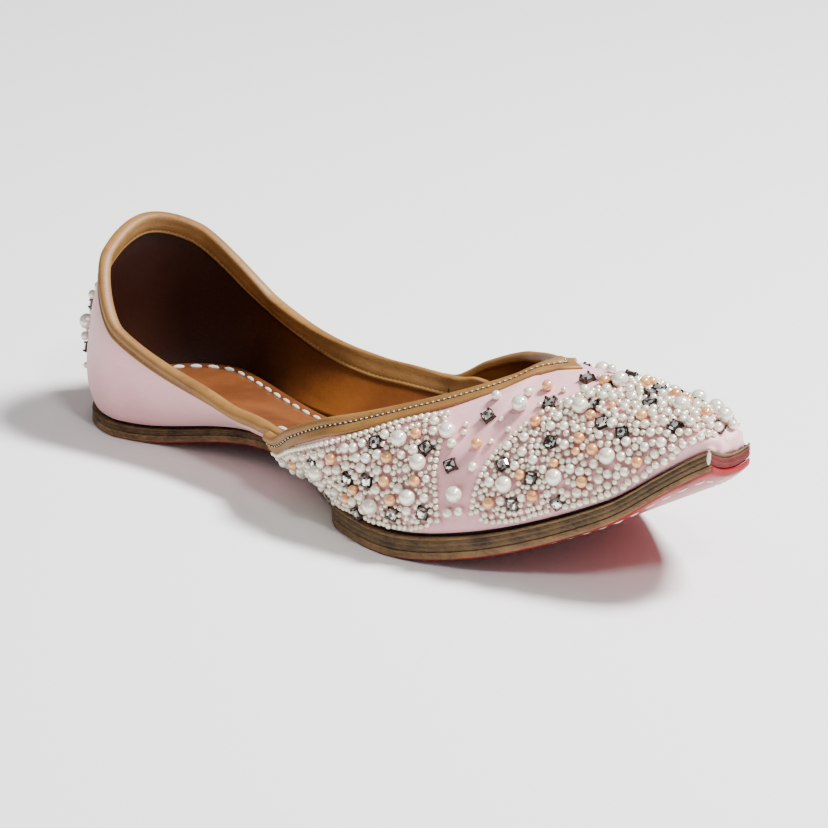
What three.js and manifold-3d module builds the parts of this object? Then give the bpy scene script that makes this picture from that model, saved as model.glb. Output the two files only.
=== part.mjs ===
// Mojari: a flat leather slip-on shoe with low open sides, a V throat and a turned-up blunt toe.
// Left shoe of a pair. Millimetres. +X runs to the toe, +Y to the wearer's left, +Z up, floor at Z = 0.
// The shoe is worked out with X = 0 at the back of the heel, and is set over the middle of its box last.
import * as THREE from "three";
import { mergeVertices } from "three/addons/utils/BufferGeometryUtils.js";
import Module from "manifold-3d";

// Driving dimensions
const SHOE_LENGTH = 247;
const BALL_WIDTH = 94;
const HEEL_HEIGHT = 61.8; // floor to the edge of the upper at the back
const INSTEP_HEIGHT = 55.4; // floor to the point of the throat
const TOE_RISE = 37.4; // floor to the underside of the toe tip
const TOE_LEAN = 3; // the toe tip leans this far to the inner side of the foot
const ARCH_RISE = 6; // on the inner side
const ARCH_TWIST = 4.5; // the arch is this much lower on the outer side
const OUTSOLE_THICKNESS = 2.6;
const MIDSOLE_THICKNESS = 3.8; // under the ball and toes
const MIDSOLE_BACK = 1.2; // under the waist and heel, where it is skived down
const INSOLE_THICKNESS = 1.5;
const HEEL_PAD = 3; // the insole is this much thicker under the heel
const INSOLE_END = 238;
const WALL = 1.8; // fabric, stiffener and leather lining of the upper
const BINDING = 0.9; // leather of the folded bindings
const GAP = 0.3; // left between pieces that touch

const HALF_BALL = BALL_WIDTH / 2;
const SOLE_LIP = 1.4; // the sole stands out past the upper by this much
const HEEL_ROUND = 27; // length of the round end of the heel seat
const HEEL_RUN = 42; // way along the outline from the back of the heel to the end of that round
const HEEL_CHORD = 4; // half width of the short straight edge at the very back
const FLAT_HEEL_END = 30;
const FLAT_BALL_START = 122;
const SPRING_START = 155;
const SPRING_POWER = 1.74;
const CUP_START = 220; // forward of this the edges of the sole curl up past its middle
const TOE_CUP = 2.2;
const TOE_ROLL = 0.12; // and the inner edge of the toe is rolled up, by this much of its half width
const LEAN_START = 100;
const APEX = 180.5; // point of the throat
const NOSE_START = 237;
const NOSE_END = 246;
const VAMP_REAR = 100; // rear edge of the vamp, where it laps over the quarter
const LAP_START = 78; // behind the vamp the quarter starts to draw in here
const WING_END = 134; // front end of the quarter, inside the vamp
const WING_HEIGHT = 21.8; // floor to the edge of the quarter where it runs on inside the vamp
const THROAT_STEPS = 22; // sections of the vamp from its rear edge to the point of the throat
const COLLAR_OUTER_LEG = 2.8;
const COLLAR_INNER_LEG = 4.3;
const THROAT_LEG = 4.6;
const OUTER_DROP = 4.4; // the collar is this much lower on the outer side, beside the ankle

// Half width of the sole, in parts of the half ball width, at parts of the shoe's length
const SOLE_WIDTHS = [
  { at: 0.109, half: 0.66 },
  { at: 0.344, half: 0.385 },
  { at: 0.466, half: 0.6 },
  { at: 0.53, half: 0.885 },
  { at: 0.62, half: 1.0 },
  { at: 0.735, half: 0.86 },
  { at: 0.84, half: 0.64 },
  { at: 0.93, half: 0.44 },
  { at: 0.98, half: 0.27 },
  { at: 1.0, half: 0.19 },
];

// Sections of the upper. Each is a curve from the sole up to the collar, the throat edge or the ridge.
// foot: where it leaves the outline of the sole. x, y, z: where it ends. low, lift: how far its lower
// part leans out, and how high. high, drop: the same for its upper part, measured from its end.
const SECTIONS = [
  { foot: 0, x: 8.2, y: 0, z: HEEL_HEIGHT, low: 6, lift: 0.3, high: 3.5, drop: 0.35 },
  { foot: 11, x: 12.4, y: 21, z: 0.9 * HEEL_HEIGHT, low: 7, lift: 0.3, high: 4, drop: 0.35 },
  { foot: 32, x: 32, y: 35, z: 0.6 * HEEL_HEIGHT, low: 6, lift: 0.3, high: 2, drop: 0.35 },
  { foot: 65, x: 65, y: 34, z: 0.42 * HEEL_HEIGHT, low: 8, lift: 0.3, high: -2, drop: 0.35 },
  { foot: 86, x: 86, y: 36.6, z: 0.36 * HEEL_HEIGHT, low: 10, lift: 0.25, high: -3, drop: 0.35 },
  { foot: 103, x: 103, y: 41.4, z: 0.388 * INSTEP_HEIGHT, low: 12.5, lift: 0.25, high: -1.5, drop: 0.36 },
  { foot: 115, x: 115, y: 44.2, z: 0.51 * INSTEP_HEIGHT, low: 12, lift: 0.35, high: 2.5, drop: 0.3 },
  { foot: 129, x: 129, y: 43.6, z: 0.625 * INSTEP_HEIGHT, low: 9, lift: 0.4, high: 5, drop: 0.27 },
  { foot: 139, x: 139, y: 39.6, z: 0.683 * INSTEP_HEIGHT, low: 5, lift: 0.45, high: 7.5, drop: 0.18 },
  { foot: 153, x: 153, y: 30, z: 0.77 * INSTEP_HEIGHT, low: 3, lift: 0.5, high: 11, drop: 0.1 },
  { foot: 163.5, x: 163.5, y: 20, z: 0.843 * INSTEP_HEIGHT, low: 2.5, lift: 0.5, high: 15, drop: 0.1 },
  { foot: 172.5, x: 172.5, y: 10, z: 0.919 * INSTEP_HEIGHT, low: 2, lift: 0.5, high: 18, drop: 0.1 },
  { foot: APEX, x: APEX, y: 0, z: INSTEP_HEIGHT, low: 2, lift: 0.5, high: 22, drop: 0.1 },
  { foot: 205, x: 205, y: 0, z: INSTEP_HEIGHT, low: 1.5, lift: 0.5, high: 18, drop: 0.03 },
  { foot: 228, x: 228, y: 0, z: 0.97 * INSTEP_HEIGHT, low: 1, lift: 0.5, high: 13, drop: 0 },
  { foot: 243, x: 243, y: 0, z: 0.945 * INSTEP_HEIGHT, low: 0.5, lift: 0.5, high: 8, drop: 0 },
  { foot: 247, x: 247, y: 0, z: 0.935 * INSTEP_HEIGHT, low: 0.5, lift: 0.5, high: 7, drop: 0 },
];

const FINISHES = {
  outsole: { color: 0x8c1014, roughness: 0.3 },
  midsole: { color: 0x6e553c, roughness: 0.8 },
  insole: { color: 0x8c5532, roughness: 0.7 },
  upper: { color: 0xe4cdd4, roughness: 0.55 },
  collar_binding: { color: 0xbe8c50, roughness: 0.5 },
  throat_binding: { color: 0xbe8c50, roughness: 0.5 },
};

const wasm = await Module();
wasm.setup();

const clamp01 = (value) => Math.min(1, Math.max(0, value));
const smooth = (from, to, value) => THREE.MathUtils.smoothstep(value, from, to);
const vec = (x, y, z) => new THREE.Vector3(x, y, z);
const steps = (from, to, count) => Array.from({ length: count + 1 },
  (_, i) => from + (to - from) * i / count);

// Smooth curve through the rows of a table that never swings past them
function throughRows(places, values, startsFlat = false) {
  const last = places.length - 1;
  const slope = (i) => (values[i + 1] - values[i]) / (places[i + 1] - places[i]);
  const tangents = values.map((_, i) => {
    if (i === 0) return startsFlat ? 0 : slope(0);
    if (i === last) return slope(last - 1);
    const product = slope(i - 1) * slope(i);
    return product <= 0 ? 0 : (2 * product) / (slope(i - 1) + slope(i));
  });
  return (place) => {
    let i = 0;
    while (i < last - 1 && place > places[i + 1]) i += 1;
    const width = places[i + 1] - places[i];
    const u = (place - places[i]) / width;
    const rise = values[i + 1] - values[i];
    const start = tangents[i] * width;
    const end = tangents[i + 1] * width;
    return values[i] + u * (start + u * (3 * rise - 2 * start - end + u * (start + end - 2 * rise)));
  };
}

// --- Sole: outline, arch, toe spring and layers ---

const sideWidth = throughRows(
  SOLE_WIDTHS.map((row) => row.at * SHOE_LENGTH),
  SOLE_WIDTHS.map((row) => row.half * HALF_BALL),
);
const HEEL_HALF = sideWidth(HEEL_ROUND);

// Half width of the outline drawn in by inset
function halfWidth(x, inset = 0) {
  if (x < HEEL_ROUND) {
    const reach = (HEEL_ROUND - x) / (HEEL_ROUND - inset);
    return Math.max(HEEL_CHORD, (HEEL_HALF - inset) * Math.sqrt(Math.max(0, 1 - reach * reach)));
  }
  const step = 0.5;
  const slope = (sideWidth(Math.min(x + step, SHOE_LENGTH)) - sideWidth(x - step)) / (2 * step);
  return sideWidth(x) - inset * Math.hypot(1, slope);
}

const midsoleThickness = (x) => MIDSOLE_BACK + (MIDSOLE_THICKNESS - MIDSOLE_BACK) * smooth(98, 138, x);

// Share of the arch's height at a place along the shoe
function archAt(x) {
  const place = clamp01((x - FLAT_HEEL_END) / (FLAT_BALL_START - FLAT_HEEL_END));
  return Math.sin(Math.PI * place) ** 2;
}

// Underside of the sole; across runs from -1 to 1 over its width
function soleHeight(x, across) {
  const springPlace = clamp01((x - SPRING_START) / (SHOE_LENGTH - SPRING_START));
  const cup = TOE_CUP * smooth(CUP_START, SHOE_LENGTH, x) * across * across;
  return ARCH_RISE * archAt(x) + TOE_RISE * springPlace ** SPRING_POWER + cup;
}

// What makes this a left shoe: the toe swings to the inner side, and on the outer side the collar and
// the arch drop
function handed(p) {
  const place = clamp01((p.x - LEAN_START) / (SHOE_LENGTH - LEAN_START));
  const beside = smooth(6, 34, p.x) * (1 - smooth(50, 92, p.x)) * smooth(2, 22, p.y);
  const up = clamp01((p.z - 14) / 24);
  const roll = TOE_ROLL * p.y * smooth(CUP_START, SHOE_LENGTH, p.x);
  const arch = ARCH_TWIST * archAt(p.x) * smooth(-14, 14, p.y) * (1 - clamp01((p.z - 13) / 12));
  return vec(p.x, p.y - TOE_LEAN * place ** 1.5, p.z - OUTER_DROP * beside * up - roll - arch);
}

// --- Meshes ---

class Skin {
  constructor() {
    this.positions = [];
  }

  triangle(a, b, c) {
    for (const p of [a, b, c]) this.positions.push(p.x, p.y, p.z);
  }

  quad(a, b, c, d) {
    this.triangle(a, b, c);
    this.triangle(a, c, d);
  }

  // Rows of points joined by quads; flip turns the faces over
  sheet(rows, flip) {
    for (let i = 0; i + 1 < rows.length; i += 1) {
      for (let j = 0; j + 1 < rows[i].length; j += 1) {
        const [a, b, c, d] = [rows[i][j], rows[i][j + 1], rows[i + 1][j + 1], rows[i + 1][j]];
        if (flip) this.quad(a, d, c, b);
        else this.quad(a, b, c, d);
      }
    }
  }

  // Merged, with faces too thin to have an area left out
  geometry() {
    const loose = new THREE.BufferGeometry();
    loose.setAttribute("position", new THREE.Float32BufferAttribute(this.positions, 3));
    const merged = mergeVertices(loose, 1e-4);
    const index = merged.index.array;
    const kept = [];
    for (let i = 0; i < index.length; i += 3) {
      const [a, b, c] = index.slice(i, i + 3);
      if (a !== b && b !== c && c !== a) kept.push(a, b, c);
    }
    merged.setIndex(kept);
    return merged;
  }
}

function toSolid(geometry) {
  return new wasm.Manifold(new wasm.Mesh({
    numProp: 3,
    vertProperties: Float32Array.from(geometry.attributes.position.array),
    triVerts: Uint32Array.from(geometry.index.array),
  }));
}

function toGeometry(solid) {
  const mesh = solid.getMesh();
  const geometry = new THREE.BufferGeometry();
  geometry.setAttribute("position", new THREE.BufferAttribute(mesh.vertProperties, 3));
  geometry.setIndex(new THREE.BufferAttribute(mesh.triVerts, 1));
  return geometry;
}

// Layer of leather that follows the sole: drawn in from its outline, between two levels over its underside
function soleLayer(inset, start, end, bottomLevel, topLevel) {
  const columns = steps(-1, 1, 6);
  const heel = steps(0, Math.PI / 2, 6).map((angle) => HEEL_ROUND - (HEEL_ROUND - start) * Math.cos(angle));
  const sides = steps(HEEL_ROUND, SPRING_START, 12).slice(1);
  const toe = steps(SPRING_START, end, 14).slice(1);
  const level = (above) => [...heel, ...sides, ...toe].map((x) => columns.map((column) => {
    const y = column * halfWidth(x, inset(x));
    return handed(vec(x, y, soleHeight(x, y / halfWidth(x)) + above(x)));
  }));
  const bottom = level(bottomLevel);
  const top = level(topLevel);
  const skin = new Skin();
  skin.sheet(bottom, false);
  skin.sheet(top, true);
  const last = bottom.length - 1;
  skin.sheet([top[0], bottom[0]], false);
  skin.sheet([top[last], bottom[last]], true);
  const edge = (rows, j) => rows.map((row) => row[j]);
  skin.sheet([edge(top, 0), edge(bottom, 0)], true);
  skin.sheet([edge(top, 6), edge(bottom, 6)], false);
  return skin.geometry();
}

// --- Upper: one form that the quarter, the vamp and their bindings are all measured from ---

// Height above the underside of the sole that the upper and the insole stand on
const baseAt = (x) => OUTSOLE_THICKNESS + midsoleThickness(x) + 2 * GAP;

const runAt = (x) => (x < HEEL_ROUND
  ? HEEL_RUN * Math.acos(1 - x / HEEL_ROUND) / (Math.PI / 2)
  : HEEL_RUN + x - HEEL_ROUND);

const column = (name, rows, startsFlat) => throughRows(
  rows.map((row) => runAt(row.foot)),
  rows.map((row) => row[name]),
  startsFlat,
);
const end = { x: column("x", SECTIONS, true), z: column("z", SECTIONS, true) };
const throatY = column("y", SECTIONS.filter((row) => row.foot <= APEX), false);
const lean = Object.fromEntries(
  ["low", "lift", "high", "drop"].map((name) => [name, column(name, SECTIONS, true)]),
);

// Where a section leaves the sole, and the way that its leaning parts face
function footAt(run) {
  const angle = (Math.PI / 2) * Math.min(1, run / HEEL_RUN);
  if (run < HEEL_RUN) {
    const out = vec(-Math.cos(angle) / HEEL_ROUND, Math.sin(angle) / HEEL_HALF, 0).normalize();
    const point = vec(HEEL_ROUND * (1 - Math.cos(angle)), HEEL_HALF * Math.sin(angle), 0);
    return { point: point.addScaledVector(out, -SOLE_LIP).setZ(baseAt(0)), out };
  }
  const x = HEEL_ROUND + run - HEEL_RUN;
  const y = halfWidth(x, SOLE_LIP);
  return { point: vec(x, y, baseAt(x) + soleHeight(x, y / halfWidth(x))), out: vec(0, 1, 0) };
}

// Outer face of the upper; run goes forward along the sole, rise goes up from 0 to 1
function form(run, rise) {
  const { point: foot, out } = footAt(run);
  const top = vec(end.x(run), run < runAt(APEX) ? throatY(run) : 0, end.z(run));
  const height = top.z - foot.z;
  const nosePlace = clamp01((foot.x - NOSE_START) / (NOSE_END - NOSE_START));
  const nose = Math.sqrt(1 - nosePlace * nosePlace);
  const low = foot.clone().addScaledVector(out, lean.low(run) * nose)
    .setZ(foot.z + lean.lift(run) * height);
  const high = top.clone().addScaledVector(out, lean.high(run))
    .setZ(top.z - lean.drop(run) * height);
  const p = new THREE.CubicBezierCurve3(foot, low, high, top).getPoint(rise);
  return p.setZ(foot.z + (p.z - foot.z) * nose);
}

// Unit normal of the form, facing out
function normalAt(run, rise) {
  const step = 0.25;
  const share = 0.01;
  const along = form(Math.min(run + step, runAt(NOSE_END)), rise).sub(form(run - step, rise));
  const up = form(run, Math.min(rise + share, 1)).sub(form(run, Math.max(rise - share, 0)));
  const normal = up.cross(along);
  if (rise === 1 && run >= runAt(APEX)) normal.y = 0;
  return normal.normalize();
}

const inside = (run, rise, depth) => form(run, rise).addScaledVector(normalAt(run, rise), -depth);

// Puts a point of the lower edge back on the level that the upper stands on
function onBase(p) {
  return p.setZ(baseAt(p.x) + soleHeight(p.x, p.y / halfWidth(p.x)));
}

// Vamp: laps over the quarter at the sides and closes over the toes
function vampGrids() {
  const open = steps(VAMP_REAR, APEX, THROAT_STEPS);
  const closed = steps(APEX, NOSE_START, 8).slice(1);
  const nose = steps(0, Math.PI / 2, 5).slice(1)
    .map((angle) => NOSE_START + (NOSE_END - NOSE_START) * Math.sin(angle));
  const stations = [...open, ...closed, ...nose].map(runAt);
  const rises = steps(0, 1, 9);
  const outer = stations.map((run) => rises.map((rise) => form(run, rise)));
  const inner = stations.map((run, i) => rises.map((rise, j) => {
    if (i === stations.length - 1) {
      return onBase(form(run, rise).add(vec(-WALL, j === 0 ? -WALL : 0, 0)));
    }
    const p = inside(run, rise, WALL);
    return j === 0 ? onBase(p) : p;
  }));
  return { outer, inner, apexRow: open.length - 1 };
}

function vampGeometry() {
  const skin = new Skin();
  const { outer, inner, apexRow } = vampGrids();
  for (const side of [1, -1]) {
    const turned = (rows) => rows.map((row) => row.map((p) => handed(vec(p.x, side * p.y, p.z))));
    const face = turned(outer);
    const lining = turned(inner);
    const flip = side < 0;
    const lastRow = face.length - 1;
    const lastRise = face[0].length - 1;
    const edge = (rows, j, upTo) => rows.slice(0, upTo).map((row) => row[j]);
    skin.sheet(face, flip);
    skin.sheet(lining, !flip);
    skin.sheet([edge(lining, 0), edge(face, 0)], !flip);
    skin.sheet([lining[0], face[0]], flip);
    skin.sheet([face[lastRow], lining[lastRow]], flip);
    skin.sheet([edge(face, lastRise, apexRow + 1), edge(lining, lastRise, apexRow + 1)], !flip);
  }
  return skin.geometry();
}

// How deep under the form the quarter lies: flush at the heel, inside the vamp further forward
function quarterDepth(run, rise) {
  const x = form(run, 0).x;
  const upper = smooth(0.35, 0.7, rise);
  const lap = smooth(LAP_START, VAMP_REAR, x) * (WALL - 0.6 + 0.9 * upper);
  return lap + 1.5 * smooth(VAMP_REAR, VAMP_REAR + 14, x) * upper;
}

// How far up the form the quarter reaches
function quarterTop(run) {
  if (form(run, 0).x < HEEL_ROUND || form(run, 1).z <= WING_HEIGHT || form(run, 0).x < VAMP_REAR) return 1;
  let below = 0;
  let above = 1;
  for (let i = 0; i < 30; i += 1) {
    const middle = (below + above) / 2;
    if (form(run, middle).z < WING_HEIGHT) below = middle;
    else above = middle;
  }
  return above;
}

const quarterFace = (run, rise) => inside(run, rise, quarterDepth(run, rise));
const quarterLining = (run, rise) => inside(run, rise, quarterDepth(run, rise) + WALL);

// Behind the vamp the outer leg of the collar binding runs out between the first two of these
// places, and the rest of what stands out past the wall between the last two
const LEG_END = [3.4, 2, 0.8].map((back) => runAt(VAMP_REAR) - back);

const COLLAR_RUNS = [
  ...steps(0, HEEL_RUN, 13),
  ...steps(HEEL_RUN, LEG_END[0], 14).slice(1),
  ...LEG_END.slice(1),
  ...steps(runAt(VAMP_REAR), runAt(WING_END), 8),
];

// Points of one side, mirrored to run from the right side round the back to the left
function bothSides(rows) {
  const left = rows.map((row) => row.map((p) => handed(p)));
  const right = rows.slice(1).map((row) => row.map((p) => handed(vec(p.x, -p.y, p.z))));
  return [...right.reverse(), ...left];
}

function quarterGeometry() {
  const rises = steps(0, 1, 6);
  const rows = (surface) => COLLAR_RUNS.map((run) => rises.map((part, j) => {
    const p = surface(run, part * quarterTop(run));
    if (run === 0) p.y = 0;
    return j === 0 ? onBase(p) : p;
  }));
  const face = bothSides(rows(quarterFace));
  const lining = bothSides(rows(quarterLining));
  const edge = (grid, j) => grid.map((row) => row[j]);
  const last = face.length - 1;
  const skin = new Skin();
  skin.sheet(face, false);
  skin.sheet(lining, true);
  skin.sheet([edge(lining, 0), edge(face, 0)], true);
  skin.sheet([edge(face, 6), edge(lining, 6)], true);
  skin.sheet([lining[0], face[0]], false);
  skin.sheet([face[last], lining[last]], false);
  return skin.geometry();
}

const upperGeometry = () => toGeometry(toSolid(vampGeometry()).add(toSolid(quarterGeometry())));

// --- Bindings: strips of leather folded over an edge ---

// Place on a surface that lies nearest to a point, searched from a place close to it
function nearest(surface, from, target) {
  let { run, rise } = from;
  for (let i = 0; i < 8; i += 1) {
    const here = surface(run, rise);
    const along = surface(run + 0.1, rise).sub(here).multiplyScalar(10);
    const up = here.clone().sub(surface(run, rise - 0.002)).multiplyScalar(500);
    const off = target.clone().sub(here);
    const [aa, au, uu] = [along.dot(along), along.dot(up), up.dot(up)];
    const [oa, ou] = [off.dot(along), off.dot(up)];
    const det = aa * uu - au * au;
    run += (oa * uu - ou * au) / det;
    rise = Math.min(1, rise + (ou * aa - oa * au) / det);
  }
  return { run, rise };
}

// Section of a binding at one place of an edge: outer leg, folded top and inner leg. On each side
// leg fades from a whole leg to none, and then reach from past the wall to just short of its face.
function foldAt({ face, lining, run, rise, away, normal, stretch = 1, outer, inner }) {
  const edgeOut = face(run, rise);
  const edgeIn = lining(run, rise);
  const shifted = (p, out, up) => p.clone().addScaledVector(normal, out)
    .addScaledVector(away, -up * stretch);
  const top = GAP + BINDING;
  const half = (surface, edge, sign, side) => {
    const onSurface = (down, off) => {
      const target = edge.clone().addScaledVector(away, down * stretch);
      const place = nearest(surface, { run, rise }, target);
      return surface(place.run, place.rise).addScaledVector(normalAt(place.run, place.rise), sign * off);
    };
    const cap = (past, short, up) => shifted(edge, sign * (short + (past - short) * side.reach), up);
    const leg = (past, short, share) => cap(past, short, GAP + 0.1)
      .lerp(onSurface(share * side.length, past), side.leg);
    return {
      near: leg(GAP, -0.3, 1),
      far: leg(top, 0, 1),
      middle: leg(top, 0, 0.5),
      shoulder: cap(top, 0, GAP + 0.4 * BINDING),
      crown: cap(0.5 * top, -0.3, top),
      channel: cap(GAP, -0.6, GAP),
      bend: leg(GAP, -0.3, 0.5),
    };
  };
  const o = half(face, edgeOut, 1, outer);
  const i = half(lining, edgeIn, -1, inner);
  return [
    o.near, o.far, o.middle, o.shoulder, o.crown, i.crown, i.shoulder,
    i.middle, i.far, i.near, i.bend, i.channel, o.channel, o.bend,
  ];
}

// Rows of section points closed round into a solid, with both ends covered
function foldedStrip(rows) {
  const skin = new Skin();
  skin.sheet(rows.map((row) => [...row, row[0]]), false);
  const cover = (row, flip) => {
    const quads = [[13, 0, 1, 2], [12, 13, 2, 3], [12, 3, 4, 4], [11, 12, 4, 5], [11, 5, 6, 6],
      [10, 11, 6, 7], [9, 10, 7, 8]];
    for (const corners of quads) {
      const [a, b, c, d] = corners.map((place) => row[place]);
      if (flip) skin.quad(a, d, c, b);
      else skin.quad(a, b, c, d);
    }
  };
  cover(rows[0], true);
  cover(rows[rows.length - 1], false);
  return skin.geometry();
}

// Direction along an edge, and away from the opening along the surface
function edgeFrame(edgeAt, run, normal) {
  const along = edgeAt(run + 0.2).sub(edgeAt(Math.max(0, run - 0.2))).normalize();
  return normal.clone().cross(along).normalize();
}

function collarBinding() {
  const rows = COLLAR_RUNS.slice(0, -1).map((run) => {
    const rise = quarterTop(run);
    const normal = normalAt(run, rise);
    const away = edgeFrame((place) => quarterFace(place, quarterTop(place)), run, normal);
    const fade = (from, to) => 1 - clamp01((run - from) / (to - from));
    const leg = fade(LEG_END[0], LEG_END[1]);
    const reach = fade(LEG_END[1], LEG_END[2]);
    const outer = { length: COLLAR_OUTER_LEG, leg, reach };
    const inner = { length: COLLAR_INNER_LEG, leg: 1, reach: 1 };
    const row = foldAt({
      face: quarterFace, lining: quarterLining, run, rise, away, normal, outer, inner,
    });
    return run === 0 ? row.map((p) => p.setY(0)) : row;
  });
  return foldedStrip(bothSides(rows));
}

function throatBinding() {
  const face = (run, rise) => form(run, rise);
  const lining = (run, rise) => inside(run, rise, WALL);
  const stations = steps(runAt(VAMP_REAR), runAt(APEX), THROAT_STEPS);
  const runs = [stations[0] + 0.6, ...stations.slice(1, -1)];
  const outer = { length: THROAT_LEG, leg: 1, reach: 1 };
  const inner = { length: 1, leg: 0, reach: 0 };
  const fold = (run, normal, away, stretch) => foldAt({
    face, lining, run, rise: 1, away, normal, stretch, outer, inner,
  });
  const rows = runs.map((run) => {
    const normal = normalAt(run, 1);
    return fold(run, normal, edgeFrame((place) => form(place, 1), run, normal));
  });
  const apexRun = runAt(APEX);
  const normal = normalAt(apexRun, 1);
  const side = edgeFrame((place) => form(place, 1), apexRun - 1, normal);
  const ahead = vec(normal.z, 0, -normal.x);
  const mitre = fold(apexRun, normal, ahead, 1 / side.dot(ahead)).map((p) => p.setY(0));
  return foldedStrip(bothSides([mitre, ...rows.reverse()]).reverse());
}

// --- Assembly ---

const insoleInset = (x) => SOLE_LIP + WALL + 0.5
  + (WALL - 0.6) * smooth(LAP_START - 4, VAMP_REAR - 4, x) * (1 - smooth(WING_END, WING_END + 8, x));

const group = new THREE.Group();

function addPiece(name, geometry) {
  const finish = new THREE.MeshStandardMaterial({ ...FINISHES[name], metalness: 0 });
  const mesh = new THREE.Mesh(geometry, finish);
  mesh.name = name;
  group.add(mesh);
}

const none = () => 0;
const outsoleTop = () => OUTSOLE_THICKNESS;
const midsoleBottom = () => OUTSOLE_THICKNESS + GAP;
const midsoleTop = (x) => baseAt(x) - GAP;
const insoleTop = (x) => baseAt(x) + INSOLE_THICKNESS + HEEL_PAD * (1 - smooth(30, 80, x));
addPiece("outsole", soleLayer(none, 0, SHOE_LENGTH, none, outsoleTop));
addPiece("midsole", soleLayer(none, 0, SHOE_LENGTH, midsoleBottom, midsoleTop));
addPiece("insole", soleLayer(insoleInset, insoleInset(0), INSOLE_END, baseAt, insoleTop));
addPiece("upper", upperGeometry());
addPiece("collar_binding", collarBinding());
addPiece("throat_binding", throatBinding());

// The origin is under the middle of the whole shoe's box
const box = new THREE.Box3().setFromObject(group);
const middle = box.getCenter(new THREE.Vector3());
group.position.set(-middle.x, -middle.y, -box.min.z);

export default group;
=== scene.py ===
# Mojari for the left foot: a flat slip-on shoe with a satin upper worked in pearls and cut stones,
# tan leather bindings and a thin stitched leather sole. It stands empty on its sole.
import math

import bmesh
import bpy
import numpy as np
from mathutils import Matrix, Vector


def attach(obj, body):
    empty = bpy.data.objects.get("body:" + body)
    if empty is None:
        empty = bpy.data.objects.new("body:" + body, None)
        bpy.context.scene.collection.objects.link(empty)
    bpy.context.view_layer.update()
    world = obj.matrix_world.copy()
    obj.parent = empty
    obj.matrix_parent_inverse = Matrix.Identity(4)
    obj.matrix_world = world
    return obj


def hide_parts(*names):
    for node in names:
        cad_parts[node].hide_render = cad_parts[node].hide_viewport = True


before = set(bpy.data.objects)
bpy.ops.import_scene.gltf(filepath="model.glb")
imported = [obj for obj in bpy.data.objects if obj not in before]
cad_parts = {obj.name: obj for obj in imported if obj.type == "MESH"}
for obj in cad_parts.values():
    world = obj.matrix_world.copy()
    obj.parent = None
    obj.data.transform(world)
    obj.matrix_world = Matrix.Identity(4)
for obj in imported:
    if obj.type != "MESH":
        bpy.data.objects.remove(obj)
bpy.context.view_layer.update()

# --- Camera and studio ---
# The camera looks down on the inner side of the shoe and over its toe, from about a metre and a
# half away through a long lens. A pale floor and large soft lights stand round it.

MM = 0.001
seat = [v.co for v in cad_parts["outsole"].data.vertices]
rear_edge = min(co.x for co in seat)
heel = [co for co in seat if co.x < rear_edge + 0.01 * MM]
HEEL_BACK = np.array([rear_edge, sum(co.y for co in heel) / len(heel), 0.0])


def to_row(points):
    """Places given in millimetres from the back of the heel, as metres in the row's frame."""
    return np.asarray(points, float) * MM + HEEL_BACK


CAMERA_PLACE = (1056.2, -1062.7, 517.0)
CAMERA_AIM = (124.5, -1.0, 25.0)
CAMERA_ROLL = math.radians(1.5)
LENS = 215.0

camera_data = bpy.data.cameras.new("camera")
camera_data.lens = LENS
camera_data.sensor_width = 36.0
camera_data.clip_end = 50.0
camera = bpy.data.objects.new("camera", camera_data)
bpy.context.scene.collection.objects.link(camera)
camera.location = to_row(CAMERA_PLACE)
ahead = (Vector(to_row(CAMERA_AIM)) - camera.location).normalized()
right = ahead.cross(Vector((0, 0, 1))).normalized()
turn = Matrix.Rotation(CAMERA_ROLL, 3, -ahead)
upward = right.cross(ahead)
axes = Matrix((turn @ right, turn @ upward, -ahead)).transposed()
camera.rotation_mode = "QUATERNION"
camera.rotation_quaternion = axes.to_quaternion()
bpy.context.scene.camera = camera


class Signal:
    """A node's output, with arithmetic that adds Math nodes."""

    def __init__(self, finish, socket):
        self.finish = finish
        self.socket = socket

    def math(self, operation, a, b=None, clamped=False):
        values = {0: a} if b is None else {0: a, 1: b}
        return self.finish.node("Math", {"operation": operation, "use_clamp": clamped}, values)

    def __add__(self, other):
        return self.math("ADD", self, other)

    def __sub__(self, other):
        return self.math("SUBTRACT", self, other)

    def __rsub__(self, other):
        return self.math("SUBTRACT", other, self)

    def __mul__(self, other):
        return self.math("MULTIPLY", self, other)

    def __truediv__(self, other):
        return self.math("DIVIDE", self, other)

    __radd__ = __add__
    __rmul__ = __mul__

    def above(self, low, high):
        """0 below low, 1 above high and a smooth step between them."""
        settings = {"interpolation_type": "SMOOTHSTEP"}
        return self.finish.node("MapRange", settings, {"Value": self, "From Min": low, "From Max": high})


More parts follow.
